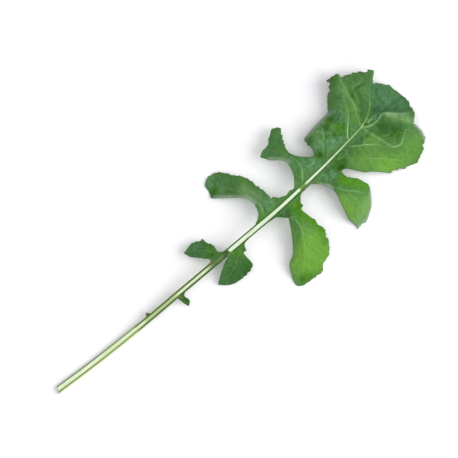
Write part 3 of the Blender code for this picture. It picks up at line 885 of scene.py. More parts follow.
# %% The flat blade, cut in rows
GRID_STEP = 0.36
CUTS_LOW = (BLADE_START + 0.17, -34.4)    # the first cut along X and along Y
CUTS_HIGH = (183.2, 25.4)                 # past the last cut along X and along Y
WELD = 0.03


def cut_in_rows(bm, axis, places):
    """Divide the faces along parallel planes, one after the other, from low to high."""
    normal = Vector([1 if k == axis else 0 for k in range(3)])
    rest = bm.faces[:]
    for spot in places:
        around = list({v for f in rest for v in f.verts}) + list({e for f in rest for e in f.edges})
        cut = bmesh.ops.bisect_plane(bm, geom=around + rest, plane_co=normal * spot,
                                     plane_no=normal, dist=0.00001)
        rest = [g for g in cut["geom"] if isinstance(g, bmesh.types.BMFace)
                and g.calc_center_median()[axis] > spot]


def flat_blade():
    """The outline as one face, cut into a fine grid."""
    bm = bmesh.new()
    ring = leaf_edge + [Vector(p) for p in slot_margin(EDGE_STEP)]
    bm.faces.new([bm.verts.new((p.x, p.y, 0)) for p in ring])
    for axis in (0, 1):
        cut_in_rows(bm, axis, np.arange(CUTS_LOW[axis], CUTS_HIGH[axis], GRID_STEP))
    bmesh.ops.remove_doubles(bm, verts=bm.verts, dist=WELD)
    bmesh.ops.triangulate(bm, faces=bm.faces, quad_method="BEAUTY", ngon_method="BEAUTY")
    bmesh.ops.recalc_face_normals(bm, faces=bm.faces)
    if bm.faces[0].normal.z < 0:
        bmesh.ops.reverse_faces(bm, faces=bm.faces)
    return bm


flat = flat_blade()
print("flat blade of", len(flat.faces), "triangles")


def finish_mesh(bm, name):
    """Scale to metres, centre on the leaf's middle and link as an object."""
    bmesh.ops.translate(bm, verts=bm.verts, vec=(-LEAF_CENTRE[0], -LEAF_CENTRE[1], 0))
    bmesh.ops.scale(bm, verts=bm.verts, vec=(MM, MM, MM))
    mesh = bpy.data.meshes.new(name)
    bm.to_mesh(mesh)
    bm.free()
    mesh.shade_smooth()
    piece = bpy.data.objects.new(name, mesh)
    bpy.context.scene.collection.objects.link(piece)
    return piece


# %% [markdown]
# ## Where the greens change
# An arugula blade isn't one green. It is fresher where it is young and thin, deeper near
# the stalk and bluish in places, and over these tones light is painted as well: fresher,
# vivid green where lobes face the lamp and glow through, painted shade in creases, valleys
# and notches, bluish sky reflection where the blade tilts away, painted gloss on the flat
# parts, and a painted grey sheen where an edge turns down and catches the light. Noise
# alone would put these anywhere, so each tint is given as soft spots and bands, and kept
# on the mesh for the material to read.

# %% Fresh, vivid and deep green, partly painted light and shade, as spots (x, y, radius, amount)
# Partly the blade's own fresher green, partly painted light on the lower lobes' flanks that face the
# lamp.
FRESH_AND_LIT_SPOTS = (
    (118, -22, 6, 0.9), (112, -28, 7, 0.9), (116, -31, 5, 0.8), (106, -27, 4, 0.5),
    (112, -21, 3, 0.4), (136, -22, 4.4, 0.7), (136.6, -17, 3, 0.5), (142, -25, 4, 0.5),
    (158, -17, 6, 0.75), (160, -21, 4, 0.5), (168, -22, 5, 0.5), (173, -20, 4, 0.3),
    (152, -10, 4, 0.5), (165, 16, 3, 0.2), (163, 8, 2.5, 0.4), (160, 12, 3, 0.3),
    (161, -7, 3, 0.5), (173, -16, 3, 0.1), (170, 16, 2.6, 0.2), (109, 10, 3, 0.5),
    (156, -5, 3, 0.3), (161.6, 3.6, 1.6, 0.5), (110.6, 14, 3, 0.3), (163, 17.4, 2.2, 0.3),
    (177.4, -9.4, 1.6, 0.15), (108, -25, 3, 0.4))
# Partly the blade's own vivid green, partly a painted glow of light through the thin lobes on the
# lamp's side.
VIVID_AND_GLOW_SPOTS = (
    (143.6, -12.6, 2.6, 1.0), (145.4, -15.6, 2.6, 1.0), (146.6, -18.8, 2.2, 1.0),
    (141.4, -11.4, 2.2, 1.0), (120.4, -8.6, 2.6, 1.0), (121.0, -12.6, 2.0, 1.0),
    (121.6, -16.4, 2.0, 1.0), (122.0, -20.6, 2.2, 1.0), (118.6, -12.6, 2.0, 0.6),
    (105.6, -31.6, 2.4, 0.9), (120.6, -25, 2.2, 0.8), (153.8, 5.2, 2.4, 1.0),
    (99.4, 19.2, 1.7, 0.6), (83.0, 2.0, 1.4, 0.7), (91.2, -6.2, 1.6, 0.8), (106, -0.4, 2.2, 0.6),
    (121, -6, 2.0, 0.6), (170, -12, 2.4, 0.4), (167, 17, 1.6, 0.3), (171.5, -21.4, 2.4, 0.4),
    (156.4, 2.2, 0.9, 0.5), (165.8, 21.8, 1.0, 0.6))
# Partly the blade's own deeper green near the stalk and on the low lobes, partly painted shade in
# the end lobe's valleys and beside its folds.
DEEP_AND_SHADE_SPOTS = (
    (86, -11, 6, 1.0), (109.4, -18, 2.4, 0.2), (79, 6, 5, 0.5), (84, 2, 3, 0.4),
    (154.4, 5.4, 1.6, 0.4), (131, 18.6, 4, 0.5), (167.4, -5.6, 3.0, 1.0),
    (169.4, -10.6, 3.2, 1.0), (173, -11, 2.0, 0.4), (149, 9, 1.7, 0.7), (62.5, -6, 2.6, 1.0),
    (47.2, -0.2, 1.6, 1.0), (150, -3, 2.6, 0.5), (113, -6, 2.4, 0.7), (116.4, -6.2, 2.4, 0.7),
    (90, -13, 3, 0.5), (165.6, 4, 1.6, 0.3), (169.4, 7.0, 2.4, 0.4), (165, 22, 1.4, 0.5),
    (146.8, -3.6, 2.0, 0.4), (138.6, -3.6, 2.0, 0.4))
print(len(FRESH_AND_LIT_SPOTS), "fresh,", len(VIVID_AND_GLOW_SPOTS), "vivid and", len(DEEP_AND_SHADE_SPOTS), "deep spots")

# %% Bluish green, dark painted shade and painted gloss, as spots (x, y, radius, amount)
# Partly the blade's own bluish tone, partly painted shade and sky reflection where the blade tilts
# away from the lamp.
BLUISH_AND_SHADE_SPOTS = (
    (175, 1, 5, 1.0), (179, -3, 4, 1.0), (171, -0.5, 3, 0.9), (146, 4, 4, 0.5), (177, 7, 3, 1.0),
    (151, 1.5, 3, 0.5), (137, 1.6, 3, 0.6), (157, 8, 2.6, 0.5), (111, 1.2, 2.6, 0.6),
    (102, 23, 2.6, 0.6), (131, 8, 3, 0.5), (166, -1, 1.6, 0.7), (156, -2.6, 2.6, 0.3),
    (158, 1.6, 2, 0.3), (107, 17, 4, 0.35), (170, 17, 3, 0.4), (79, 6, 4, 0.6),
    (86, -13, 3.4, 0.6), (79, -10.6, 2.4, 0.5), (155.6, 12.6, 2.0, 0.7), (139, -7, 2.6, 0.6),
    (126, 17, 3.0, 0.6), (133, 19, 3.0, 0.5), (174.6, 9.0, 1.6, 0.5))
# Mostly painted shade in dips, creases and notches and under curled tips, with a few of the blade's
# own dark spots.
SHADE_AND_DARK_SPOTS = (
    (140.8, 2.6, 1.5, 1.0), (141.4, 0.6, 0.9, 0.6), (144.6, -6.2, 2.3, 1.0),
    (142.3, -5.0, 1.3, 0.8), (146.4, -5.4, 1.4, 0.8), (145.0, -3.6, 0.9, 0.4),
    (153.6, 10.3, 1.4, 1.0), (149.9, 9.3, 0.8, 0.8), (162.8, -0.3, 0.8, 1.0),
    (99.2, 18.6, 1.4, 0.8), (101.0, 19.4, 1.0, 0.3), (82.2, 0.4, 1.4, 0.8),
    (87.9, -3.0, 0.7, 0.7), (94.0, -6.9, 0.6, 0.5), (161.0, -2.0, 0.8, 0.4),
    (62.5, -7.0, 1.6, 0.5), (103.6, -30.8, 1.4, 0.6), (47.3, -0.6, 0.8, 0.6),
    (113.6, -6.0, 1.4, 0.5), (118.4, -6.6, 1.0, 0.3),
    (154.0, 5.0, 2.0, 0.3), (145.2, -7.0, 1.6, 0.6))
# Painted gloss: lighter bluish patches that stand in for light reflected from the blade's wax.
PAINTED_GLOSS_SPOTS = (
    (147.5, 2.2, 2.2, 0.6), (151.2, 1.6, 2.0, 0.5), (157.2, 7.6, 1.8, 0.6), (139, -7.4, 2.4, 0.5),
    (112.6, 1.0, 2.4, 0.6), (134.8, 2.7, 2.6, 0.6), (101.2, 22.8, 2.0, 0.5), (137.0, -5.0, 1.6, 0.4),
    (157.4, 1.2, 1.0, 0.7), (161.4, 4.4, 0.8, 0.3), (143.6, 5.6, 2.2, 0.5), (149.6, 4.4, 2.4, 0.4),
    (147.2, 9.4, 1.4, 0.5), (154.6, 8.2, 1.6, 0.4), (115.0, -5.2, 1.6, 0.4), (142, -3.0, 1.6, 0.4),
    (108.2, 3.2, 1.0, 0.4), (155.8, 11.8, 1.6, 0.6), (137.4, 0.6, 2.0, 0.5), (150.6, -4.0, 1.4, 0.4),
    (119.6, -4.6, 1.6, 0.4), (130.6, 9.6, 1.8, 0.5), (167.0, -0.6, 1.4, 0.5), (175.6, 1.6, 2.6, 0.3),
    (171.0, 7.4, 2.4, 0.3), (85.6, -8.0, 2.6, 0.2), (79.6, 6.6, 2.2, 0.3),
    (163.4, 16.6, 3.0, 0.45), (158.8, 10.6, 2.6, 0.45), (168.4, -0.8, 1.3, 0.7),
    (103.2, 19.4, 2.2, 0.5), (161.8, 12.0, 2.4, 0.35), (171.4, 14.6, 2.4, 0.25),
    (177.6, -10.0, 1.6, 0.4), (157.6, -3.4, 1.8, 0.5))
print(len(BLUISH_AND_SHADE_SPOTS), "bluish,", len(SHADE_AND_DARK_SPOTS), "dark and", len(PAINTED_GLOSS_SPOTS), "waxy spots")

# %% Bands of painted sheen, highlights and shade, and olive bands, as (line, width, amount)
# Painted sheen on edges that turn down and catch the light, and one band of painted light on the
# steep side of the lower fold.
PAINTED_SHEEN_BANDS = (
    (((141, 12.2), (148, 12.5), (154.2, 13.0)), 1.1, 1.0),
    (((134, -29.8), (139, -29.6), (143.4, -27.2), (147, -22.6)), 0.8, 0.9),
    (((172.2, -2.3), (174.4, -4.4), (176.6, -6.3), (179.0, -8.2)), 0.45, 0.3),
    (((130.0, -4.2), (133.0, -6.2), (135.4, -8.8), (136.0, -11.0)), 0.7, 0.7),
    (((178.2, -13.2), (178.4, -17.0), (177.6, -20.6)), 0.8, 0.7),
    (((98.4, 17.0), (102.4, 13.4), (107.6, 8.4), (108.4, 5.0)), 1.0, 0.8),
    (((124.6, 14.4), (128.0, 11.4), (129.4, 8.2)), 0.9, 0.5),
    (((109.0, 12.0), (111.0, 6.0)), 2.0, 0.2))
# Mostly painted highlights along the fold crests and ridges and on the steep side of the lower fold,
# with some pale vein lines.
HIGHLIGHT_AND_VEIN_BANDS = (
    (UPPER_CREST, 0.3, 0.35), (MIDDLE_CREST[:4], 0.3, 0.45), (LOWER_CREST[:6], 0.3, 1.1),
    (((165.0, 5.4), (164.6, 11.0), (165.4, 16.0), (166.6, 19.8)), 1.1, 0.2),
    (((164.4, -0.5), (166.0, -0.3), (168.0, -0.4), (170.6, -0.7)), 0.3, 0.9),
    (((172.0, -2.6), (174.4, -5.0), (177.2, -7.6)), 0.7, 0.35),
    (((144.4, 10.9), (146.4, 10.2), (147.5, 8.8)), 0.22, 0.6),
    (((147.9, 7.8), (149.2, 9.6), (150.8, 10.6)), 0.2, 0.4),
    (((145.8, -3.6), (147.6, -4.6), (149.4, -4.2)), 0.22, 0.4),
    (((135.0, -27.6), (139.4, -26.8), (143.4, -24.2)), 2.2, 0.4),
    (((161.4, -1.8), (162.4, -4.8), (163.6, -8.8), (164.8, -13.0)), 0.5, 0.5),
    (((172.6, -3.6), (174.6, -7.0), (177.4, -11.0)), 1.3, 0.45),
    (((115.6, -8.8), (116.6, -9.0), (117.4, -9.8)), 0.25, 0.5),
    (((165.0, -8.8), (166.6, -9.5), (167.6, -9.7)), 0.3, 0.15))
# Painted shadow lines beside the fold crests and along creases; the lines along the midrib's sides
# are partly painted shade beside it and partly the wings' own dark lines.
SHADE_AND_DARK_LINE_BANDS = (
    (((163.2, -0.3), (165.0, 0.3), (167.2, 1.5), (169.4, 3.2)), 0.5, 0.8),
    (((165.3, 6.6), (166.1, 10.4), (166.8, 14.0)), 0.45, 0.5),
    (((166.0, 11.2), (167.4, 12.5), (169.8, 12.9), (173.4, 12.2)), 0.45, 0.7),
    (((142.0, 0.2), (144.8, 3.4), (147.4, 6.2)), 0.35, 0.8),
    (((147.8, 6.4), (150.4, 4.8), (152.6, 2.6)), 0.4, 0.7),
    (((146.2, 7.0), (147.0, 9.2), (149.4, 10.2), (151.4, 9.4)), 0.4, 0.6),
    (((154.0, -0.8), (155.8, 1.2), (157.6, 3.2)), 0.35, 0.5),
    (((163.2, -3.6), (164.6, -8.2), (165.6, -12.6)), 0.6, 0.4),
    (beside_midrib(42.0, 80.0, 1.15, 4.0), 0.25, 0.5),
    (beside_midrib(62.0, 86.0, -1.1, 4.0), 0.35, 0.8),
    (beside_midrib(88.5, 125.0, 1.1, 4.0), 0.3, 0.9),
    (beside_midrib(90.0, 125.0, -1.1, 4.0), 0.35, 0.9),
    (beside_midrib(129.5, 150.0, 0.75, 4.0), 0.3, 0.4),
    (beside_midrib(129.5, 150.0, -0.8, 4.0), 0.35, 0.5))
OLIVE_BANDS = ((beside_midrib(BLADE_START - 2, 80.0, 0.0, 5.0), 1.7, 1.0),
               (beside_midrib(90.0, 102.0, 0.0, 5.0), 1.6, 0.5),
               (((127.4, -3.8), (130.0, -4.2), (132.4, -5.4)), 0.8, 0.5))
print(len(PAINTED_SHEEN_BANDS), "grey,", len(HIGHLIGHT_AND_VEIN_BANDS), "pale and", len(SHADE_AND_DARK_LINE_BANDS), "dark bands")

# %% [markdown]
# ## The blade in its folds
# Now the flat mesh is painted and laid. Its places move up and sideways as the relief
# says, and the amounts of the tints stay with them as attributes. A Solidify modifier
# gives the sheet its thickness, with a material of its own for the underside.

# %% The blade, laid in its folds and painted
MARGIN_MOST = 5.0                 # the margin's distance is kept up to this
VEIN_HALO = (0.1, 0.25)           # a vein's pale line, at least and more for its width
# Most tints are painted light, wholly or in part: gloss and grey wholly, dark and pale mostly, and
# fresh, vivid, deep and blue partly.
TINTS = {"fresh": (FRESH_AND_LIT_SPOTS, ()), "vivid": (VIVID_AND_GLOW_SPOTS, ()), "deep": (DEEP_AND_SHADE_SPOTS, ()),
         "blue": (BLUISH_AND_SHADE_SPOTS, ()), "painted_gloss": (PAINTED_GLOSS_SPOTS, ()), "dark": (SHADE_AND_DARK_SPOTS, SHADE_AND_DARK_LINE_BANDS),
         "grey": ((), PAINTED_SHEEN_BANDS), "pale": ((), HIGHLIGHT_AND_VEIN_BANDS), "olive": ((), OLIVE_BANDS)}


def tint_amounts(xy, spots, bands):
    """How strong a tint is at each place, from 0 to 1."""
    amount = np.zeros(len(xy))
    for spot in spots:
        amount += pucker(xy, *spot)
    for line, width, strength in bands:
        across, _, _ = beside_line(xy, line)
        amount += strength * np.exp(-(across / width) ** 2)
    return np.clip(amount, 0, 1)


def painted_layers(xy, moved):
    """Amounts of the tints, where the blade lies, and of the veins and margin, as it is flat."""
    layers = {name: tint_amounts(moved, *shapes) for name, shapes in TINTS.items()}
    distance, width, pale = nearest_vein(xy)
    layers["vein"] = pale * np.exp(-(distance / (VEIN_HALO[0] + VEIN_HALO[1] * width)) ** 2)
    layers["margin"] = np.minimum(from_margin(xy), MARGIN_MOST)
    return layers


def make_blade(bm):
    """Paint the flat blade, lay it in its folds and give it its thickness."""
    xy = np.array([v.co.xy for v in bm.verts])
    moved, height = blade_middle(xy)
    for name, amounts in painted_layers(xy, moved).items():
        layer = bm.verts.layers.float.new(name)
        for vertex, amount in zip(bm.verts, amounts):
            vertex[layer] = amount
    for vertex, (x, y), z in zip(bm.verts, moved, height):
        vertex.co = (x, y, z + BLADE_THICKNESS / 2)
    blade = finish_mesh(bm, "leaf_blade")
    shell = blade.modifiers.new("thickness", "SOLIDIFY")
    shell.thickness = BLADE_THICKNESS * MM
    shell.offset = -1.0
    shell.material_offset = 1
    return blade


blade = make_blade(flat)
print("blade laid, up to", round(max(v.co.z for v in blade.data.vertices) / MM, 1), "mm high")

# %% [markdown]
# ## The stalk and midrib
# The stalk is thick and nearly round at its cut end, and grooved along its top. As the
# midrib it becomes thin, and only a pale stripe of it stays in view between the wings. A
# curve with a bevel has the same section all along, so the stalk is a row of rings, each
# shaped to the section there, and bridged one to the next.

# %% Stalk
STALK_STEP = 0.8                  # spacing of the rings
STALK_BOTTOM = -1.4               # the underside, from the line MIDRIB_Z
STALK_TOP = 0.56                  # the top, from that line
SHOULDER = 0.12                   # where the round underside and the top meet
GROOVE_DEPTH = 0.22
GROOVE_WIDTH = 0.42               # of half the top's width
TOP_SHARE = 0.97                  # how much of the width the top takes
WINGS_BEGIN = 6.0                 # the top narrows from this far before the blade's start
WINGS_CHANGE = 12.0               # over this length
THIN_FROM = 100.0                 # past here the section gets less deep with its width
THIN_HALF_WIDTH = 1.2             # the half width that would still have the full depth
RINGS_START = -2.4                # the first ring, which the slanting cut takes off
CUT_SLANT = 0.45                  # how far the cut end leans, as a slope
CUT_RIM = 0.22
CUT_DISH = 0.18                   # how deep the cut face is sunk within its rim
ROUND_POINTS = 15
TOP_POINTS = 13


def stalk_section(x):
    """The stalk's cross-section at x, as (across, up) points, from its right flank round."""
    half = along(STALK_HALF_WIDTH, x)
    stripe = along(STRIPE_HALF_WIDTH, x)
    winged = min(max((x - BLADE_START + WINGS_BEGIN) / WINGS_CHANGE, 0), 1)
    depth = (STALK_BOTTOM - SHOULDER) * (half / THIN_HALF_WIDTH if x > THIN_FROM else 1)
    points = [(half * math.cos(a), SHOULDER + depth * math.sin(a))
              for a in np.linspace(0, math.pi, ROUND_POINTS)]
    for share in np.linspace(-1, 1, TOP_POINTS):
        across = (half * (1 - winged) + stripe * winged) * share * TOP_SHARE
        crown = (STALK_TOP - SHOULDER) * (1 - abs(share) ** 4 * (1 - 0.3 * winged))
        groove = GROOVE_DEPTH * math.exp(-(share / GROOVE_WIDTH) ** 2)
        points.append((across, SHOULDER + crown - groove))
    return points


def make_stalk():
    """Rings along the midrib's line, bridged, closed at the tip and cut at the low end."""
    bm = bmesh.new()
    across_layer = bm.verts.layers.float.new("across")
    spots = np.arange(RINGS_START, MIDRIB_END - STALK_STEP / 2, STALK_STEP)
    spots = np.append(spots, MIDRIB_END)
    rings = []
    for x in spots:
        section = stalk_section(x)
        ring = bmesh.ops.create_circle(bm, segments=len(section), radius=1)["verts"]
        for vertex, (across, up) in zip(ring, section):
            vertex.co = (x, along(MIDRIB_Y, x) + across, along(MIDRIB_Z, x) + up)
            vertex[across_layer] = across / along(STALK_HALF_WIDTH, x)
        rings.append(list({edge for vertex in ring for edge in vertex.link_edges}))
    for near, far in zip(rings, rings[1:]):
        bmesh.ops.bridge_loops(bm, edges=near + far)
    bmesh.ops.contextual_create(bm, geom=rings[-1])
    trim_cut_end(bm)
    for vertex in bm.verts:
        vertex.co.z = max(vertex.co.z, 0)
    bmesh.ops.recalc_face_normals(bm, faces=bm.faces)
    return finish_mesh(bm, "leaf_stalk")


def trim_cut_end(bm):
    """Cut the stalk's low end along a slanting plane and close it with a dished face."""
    cut = bmesh.ops.bisect_plane(
        bm, geom=bm.verts[:] + bm.edges[:] + bm.faces[:], plane_co=(0, 0, 1),
        plane_no=(-1, CUT_SLANT, 0), clear_outer=True)
    edges = [e for e in cut["geom_cut"] if isinstance(e, bmesh.types.BMEdge)]
    cap = bmesh.ops.contextual_create(bm, geom=edges)["faces"]
    bmesh.ops.inset_region(bm, faces=cap, thickness=CUT_RIM, depth=0.0)
    bmesh.ops.translate(bm, verts=cap[0].verts, vec=(CUT_DISH, 0, 0))


stalk = make_stalk()
print("stalk of", len(stalk.data.polygons), "faces")

# %% [markdown]
# ## Raised veins
# The main veins are thin tapered cords that run in the blade and come out of it a little
# where they are widest and palest. They could be pushed up out of the blade's mesh, but
# that is too coarse for them. So each is a curve with a round bevel, thinner towards its
# end and where it is less pale, and all are made one mesh.

# %% Vein cords
CORD_RESOLUTION = 1               # the bevel's resolution, which gives six sides
CORD_LIFT = 0.02                  # how far over the blade's middle a cord runs
CORD_TAPER = 0.75                 # how much of its radius a cord loses up to its end
CORD_LEAST = 0.03                 # the radius that it keeps
CORD_WELD = 0.001


def vein_cords(veins, name):
    """Tapered cords along the veins, at the middle of the blade, joined in one mesh."""
    data = bpy.data.curves.new(name, "CURVE")
    data.dimensions = "3D"
    data.bevel_depth = 1.0
    data.bevel_resolution = CORD_RESOLUTION
    data.use_fill_caps = True
    spots = []
    for width, line in veins:
        moved, height = blade_middle(np.array([tuple(s.xy) for s in line]))
        spots += [(*laid, spot.z) for laid, spot in zip(moved, line)]
        spline = data.splines.new("POLY")
        spline.points.add(len(line) - 1)
        for k, point in enumerate(spline.points):
            point.co = (*moved[k], height[k] + CORD_LIFT, 1)
            shown = 0.5 + 0.5 * min(line[k].z, 1)
            taper = 1 - CORD_TAPER * k / (len(line) - 1)
            point.radius = 0.5 * width * shown * taper + CORD_LEAST
    drawn = bpy.data.objects.new(name, data)
    bpy.context.scene.collection.objects.link(drawn)
    drawn_mesh = drawn.evaluated_get(bpy.context.evaluated_depsgraph_get()).to_mesh()
    bm = bmesh.new()
    bm.from_mesh(drawn_mesh)
    bpy.data.objects.remove(drawn)
    bmesh.ops.remove_doubles(bm, verts=bm.verts, dist=CORD_WELD)
    bmesh.ops.recalc_face_normals(bm, faces=bm.faces)
    nearby = tree_of(spots)
    layer = bm.verts.layers.float.new("vein")
    for vertex in bm.verts:
        vertex[layer] = spots[nearby.find((vertex.co.x, vertex.co.y, 0))[1]][2]
    return finish_mesh(bm, name)


veins = vein_cords(main_veins, "leaf_veins")
print("veins of", len(veins.data.polygons), "faces")

# %% [markdown]
# ## The blade's colours
# The blade's green is a blend of many. They are given as they show on a screen, so that
# each can be compared with a leaf by eye.

# %% Greens of the blade
# Besides the leaf's own greens, several stand for painted light: fresh and vivid partly for lit and
# glowing lobes, bluish partly for sky reflection, deep partly and dark mostly for shade, grey for
# sheen on turned edges, and the gloss green for reflections.
LEAF_GREEN = colour(78, 125, 58)
SHADE_GREEN = colour(66, 111, 53)
FRESH_GREEN = colour(106, 157, 52)
VIVID_GREEN = colour(72, 130, 14)
DEEP_GREEN = colour(48, 94, 34)
BLUE_GREEN = colour(68, 112, 73)
SHEEN_GREY_GREEN = colour(158, 176, 158)
GLOSS_REFLECTION_GREEN = colour(112, 160, 122)
DARK_SHADE_GREEN = colour(38, 90, 0)
EDGE_GREEN = colour(42, 80, 42)
OLIVE_GREEN = colour(100, 116, 52)
VEIN_GREEN = colour(154, 196, 128)
UNDER_GREEN = colour(122, 156, 104)
UNDER_SHADE = colour(108, 146, 92)
print("blade green", [round(level, 3) for level in LEAF_GREEN[:3]])

# %% [markdown]
# ## The blade's finish
# The upper side is a slightly glossy green with patches of painted gloss, mottled in cells
# as small as a millimetre and a little paler along the veins. The underside is duller and
# greyer. An image would tie the finish to one size of picture. Noise on the leaf's own
# coordinates gives the mottle at any size, and the painted tints, painted light and shade
# among them, are read back as attributes and blended one over the other.

# %% Patterns on the blade
BROAD_SCALE = 110.0               # all scales are in cells to a metre
MOTTLE_SCALE = 650.0
NET_SCALE = 900.0
PATCH_SCALE = 900.0
GRAIN_SCALE = 1900.0


def blade_patterns(wire):
    """The patterns that both sides of the blade share: broad clouds, mottle and fine net."""
    where = wire.node("TexCoord", output=3)
    broad = wire.node("TexNoise", {}, {"Vector": where, "Scale": BROAD_SCALE, "Detail": 3.0})
    mottle = wire.node("TexNoise", {}, {"Vector": where, "Scale": MOTTLE_SCALE, "Detail": 4.0})
    net = wire.node("TexVoronoi", {"feature": "DISTANCE_TO_EDGE"},
                    {"Vector": where, "Scale": NET_SCALE})
    return broad, mottle, net


def painted(wire, name):
    """A value that was painted on the mesh, such as the amount of a tint."""
    return wire.node("Attribute", {"attribute_name": name}, output=2)


def finish_blade(material, shader, wire, green, roughness, mottle, net):
    """Link the colour, and the roughness and bump that follow the fine patterns."""
    links = material.node_tree.links
    links.new(green.socket, shader.inputs["Base Color"])
    links.new((roughness + (mottle - 0.5) * 0.2).socket, shader.inputs["Roughness"])
    height = net.between(0.0, 0.3) * 0.4 + mottle * 0.6
    bump = wire.node("Bump", {}, {"Strength": 0.22, "Distance": 0.0001, "Height": height})
    links.new(bump.socket, shader.inputs["Normal"])
    shader.inputs["Specular IOR Level"].default_value = 0.12
    shader.inputs["Subsurface Weight"].default_value = 0.08
    shader.inputs["Subsurface Radius"].default_value = (0.5, 1.0, 0.2)
    shader.inputs["Subsurface Scale"].default_value = 0.0005


print("mottle cells about", round(1 / MOTTLE_SCALE / MM, 1), "mm wide")

# %% The blade's two sides
def upper_side():
    """The tints over the plain green, many of them painted light and shade, then the net, the veins
    and the darker margin.
    """
    material, shader, wire = new_material("blade upper side")
    broad, mottle, net = blade_patterns(wire)
    where = wire.node("TexCoord", output=3)
    patchy = wire.node("TexNoise", {}, {"Vector": where, "Scale": PATCH_SCALE, "Detail": 5.0,
                                        "Distortion": 0.3})
    grain = wire.node("TexNoise", {}, {"Vector": where, "Scale": GRAIN_SCALE, "Detail": 2.0})
    green = broad.between(0.36, 0.66).blend(SHADE_GREEN, LEAF_GREEN)
    # Fresh, bluish and deep: partly the blade's own tones, partly painted light on lit flanks,
    # painted sky reflection and painted shade in valleys.
    for name, tint in (("fresh", FRESH_GREEN), ("blue", BLUE_GREEN), ("deep", DEEP_GREEN)):
        green = (painted(wire, name) * (0.8 + mottle * 0.4)).clamped().blend(green, tint)
    green = ((mottle - 0.45) * 0.9).clamped().blend(green, BLUE_GREEN)
    green = ((grain - 0.5) * 0.9).clamped().blend(green, DEEP_GREEN)
    # Painted gloss: lighter patches that stand in for light reflected from the wax.
    green = (painted(wire, "painted_gloss") * patchy.between(0.38, 0.66)).blend(green, GLOSS_REFLECTION_GREEN)
    # Vivid is partly a painted glow through the thin lobes, grey is painted sheen on turned-down
    # edges, dark is mostly painted shade in creases and notches; olive is the wings' own colour.
    for name, tint in (("vivid", VIVID_GREEN), ("grey", SHEEN_GREY_GREEN), ("olive", OLIVE_GREEN),
                       ("dark", DARK_SHADE_GREEN)):
        green = (painted(wire, name) * (0.7 + patchy * 0.5)).clamped().blend(green, tint)
    green = ((1 - net.between(0.0, 0.12)) * 0.08).blend(green, VEIN_GREEN)
    green = (painted(wire, "vein") * 0.8).clamped().blend(green, VEIN_GREEN)
    # Pale: mostly painted highlights along the fold crests and ridges, with some pale vein lines.
    green = (painted(wire, "pale") * 0.6).clamped().blend(green, VEIN_GREEN)
    green = ((1 - painted(wire, "margin").between(0.0, 0.5)) * 0.4).blend(green, EDGE_GREEN)
    finish_blade(material, shader, wire, green, 0.5, mottle, net)
    return material


def under_side():
    """A paler and duller green, with the net and the veins showing more."""
    material, shader, wire = new_material("blade underside")
    broad, mottle, net = blade_patterns(wire)
    green = broad.between(0.36, 0.66).blend(UNDER_SHADE, UNDER_GREEN)
    green = ((1 - net.between(0.0, 0.12)) * 0.25).blend(green, VEIN_GREEN)
    green = (painted(wire, "vein") * 0.7).clamped().blend(green, VEIN_GREEN)
    finish_blade(material, shader, wire, green, 0.62, mottle, net)
    return material


blade.data.materials.append(upper_side())
blade.data.materials.append(under_side())
print("blade finished in", [material.name for material in blade.data.materials])

# %% [markdown]
# ## The finish of stalk and veins
# The stalk is a moist yellow-green with a pale stripe down the middle of its top and olive
# flanks, which are partly painted shade on its rounded sides and partly thin dark wing lines,
# and fine fibres run along it. Past the lowest lobes the stripe is whiter.
# These bands follow the stalk as it bends, so they read how far across it a place is from
# an attribute, and the changes along it read the leaf's own X.

# %% Colours of stalk and veins
STALK_GREEN = colour(204, 222, 172)
STALK_PALE = colour(230, 242, 220)
STALK_LIME = colour(142, 168, 90)
STALK_DEEP = colour(76, 106, 38)
STALK_OLIVE = colour(84, 108, 44)
STALK_YELLOW = colour(204, 214, 154)
KNOT_GREEN = colour(106, 150, 56)
MIDRIB_WHITE = colour(230, 242, 220)
MIDRIB_SHADE = colour(200, 220, 180)
MIDRIB_TIP = colour(156, 196, 108)
FAINT_VEIN = colour(80, 132, 56)
PALE_VEIN = colour(176, 212, 160)
print("stalk green", [round(level, 3) for level in STALK_GREEN[:3]])

# %% Stretches of the stalk, in millimetres from its cut end
LOW_STALK_END = (38.0, 52.0)      # the bare stalk's look gives way to the winged one's
DULL_STRETCH = ((43.0, 46.0), (59.5, 62.0))
BRIGHT_STRETCH = ((61.0, 65.0), (75.0, 77.0))
DEEP_START = (76.0, 81.0)         # deep green from here up to the white midrib
WHITE_START = (88.2, 88.8)        # the white midrib begins
KNOT_STRETCH = ((126.0, 126.5), (128.6, 130.2))
TIP_START = (134.0, 160.5)        # the midrib turns green towards its end


def from_x(x, low, high):
    """A mask that rises from 0 to 1 between two places along the leaf."""
    return x.between((low - LEAF_CENTRE[0]) * MM, (high - LEAF_CENTRE[0]) * MM)


def stretch(x, rise, fall):
    """A mask that is 1 along a stretch of the leaf."""
    return from_x(x, *rise) * (1 - from_x(x, *fall))


print("midrib white from", WHITE_START[1], "mm on")

# %% Stalk and vein materials
FIBRE_SCALE = (70.0, 3200.0, 3200.0)      # fibres to a metre along the leaf and across it
VEIN_CLOUDS = 400.0


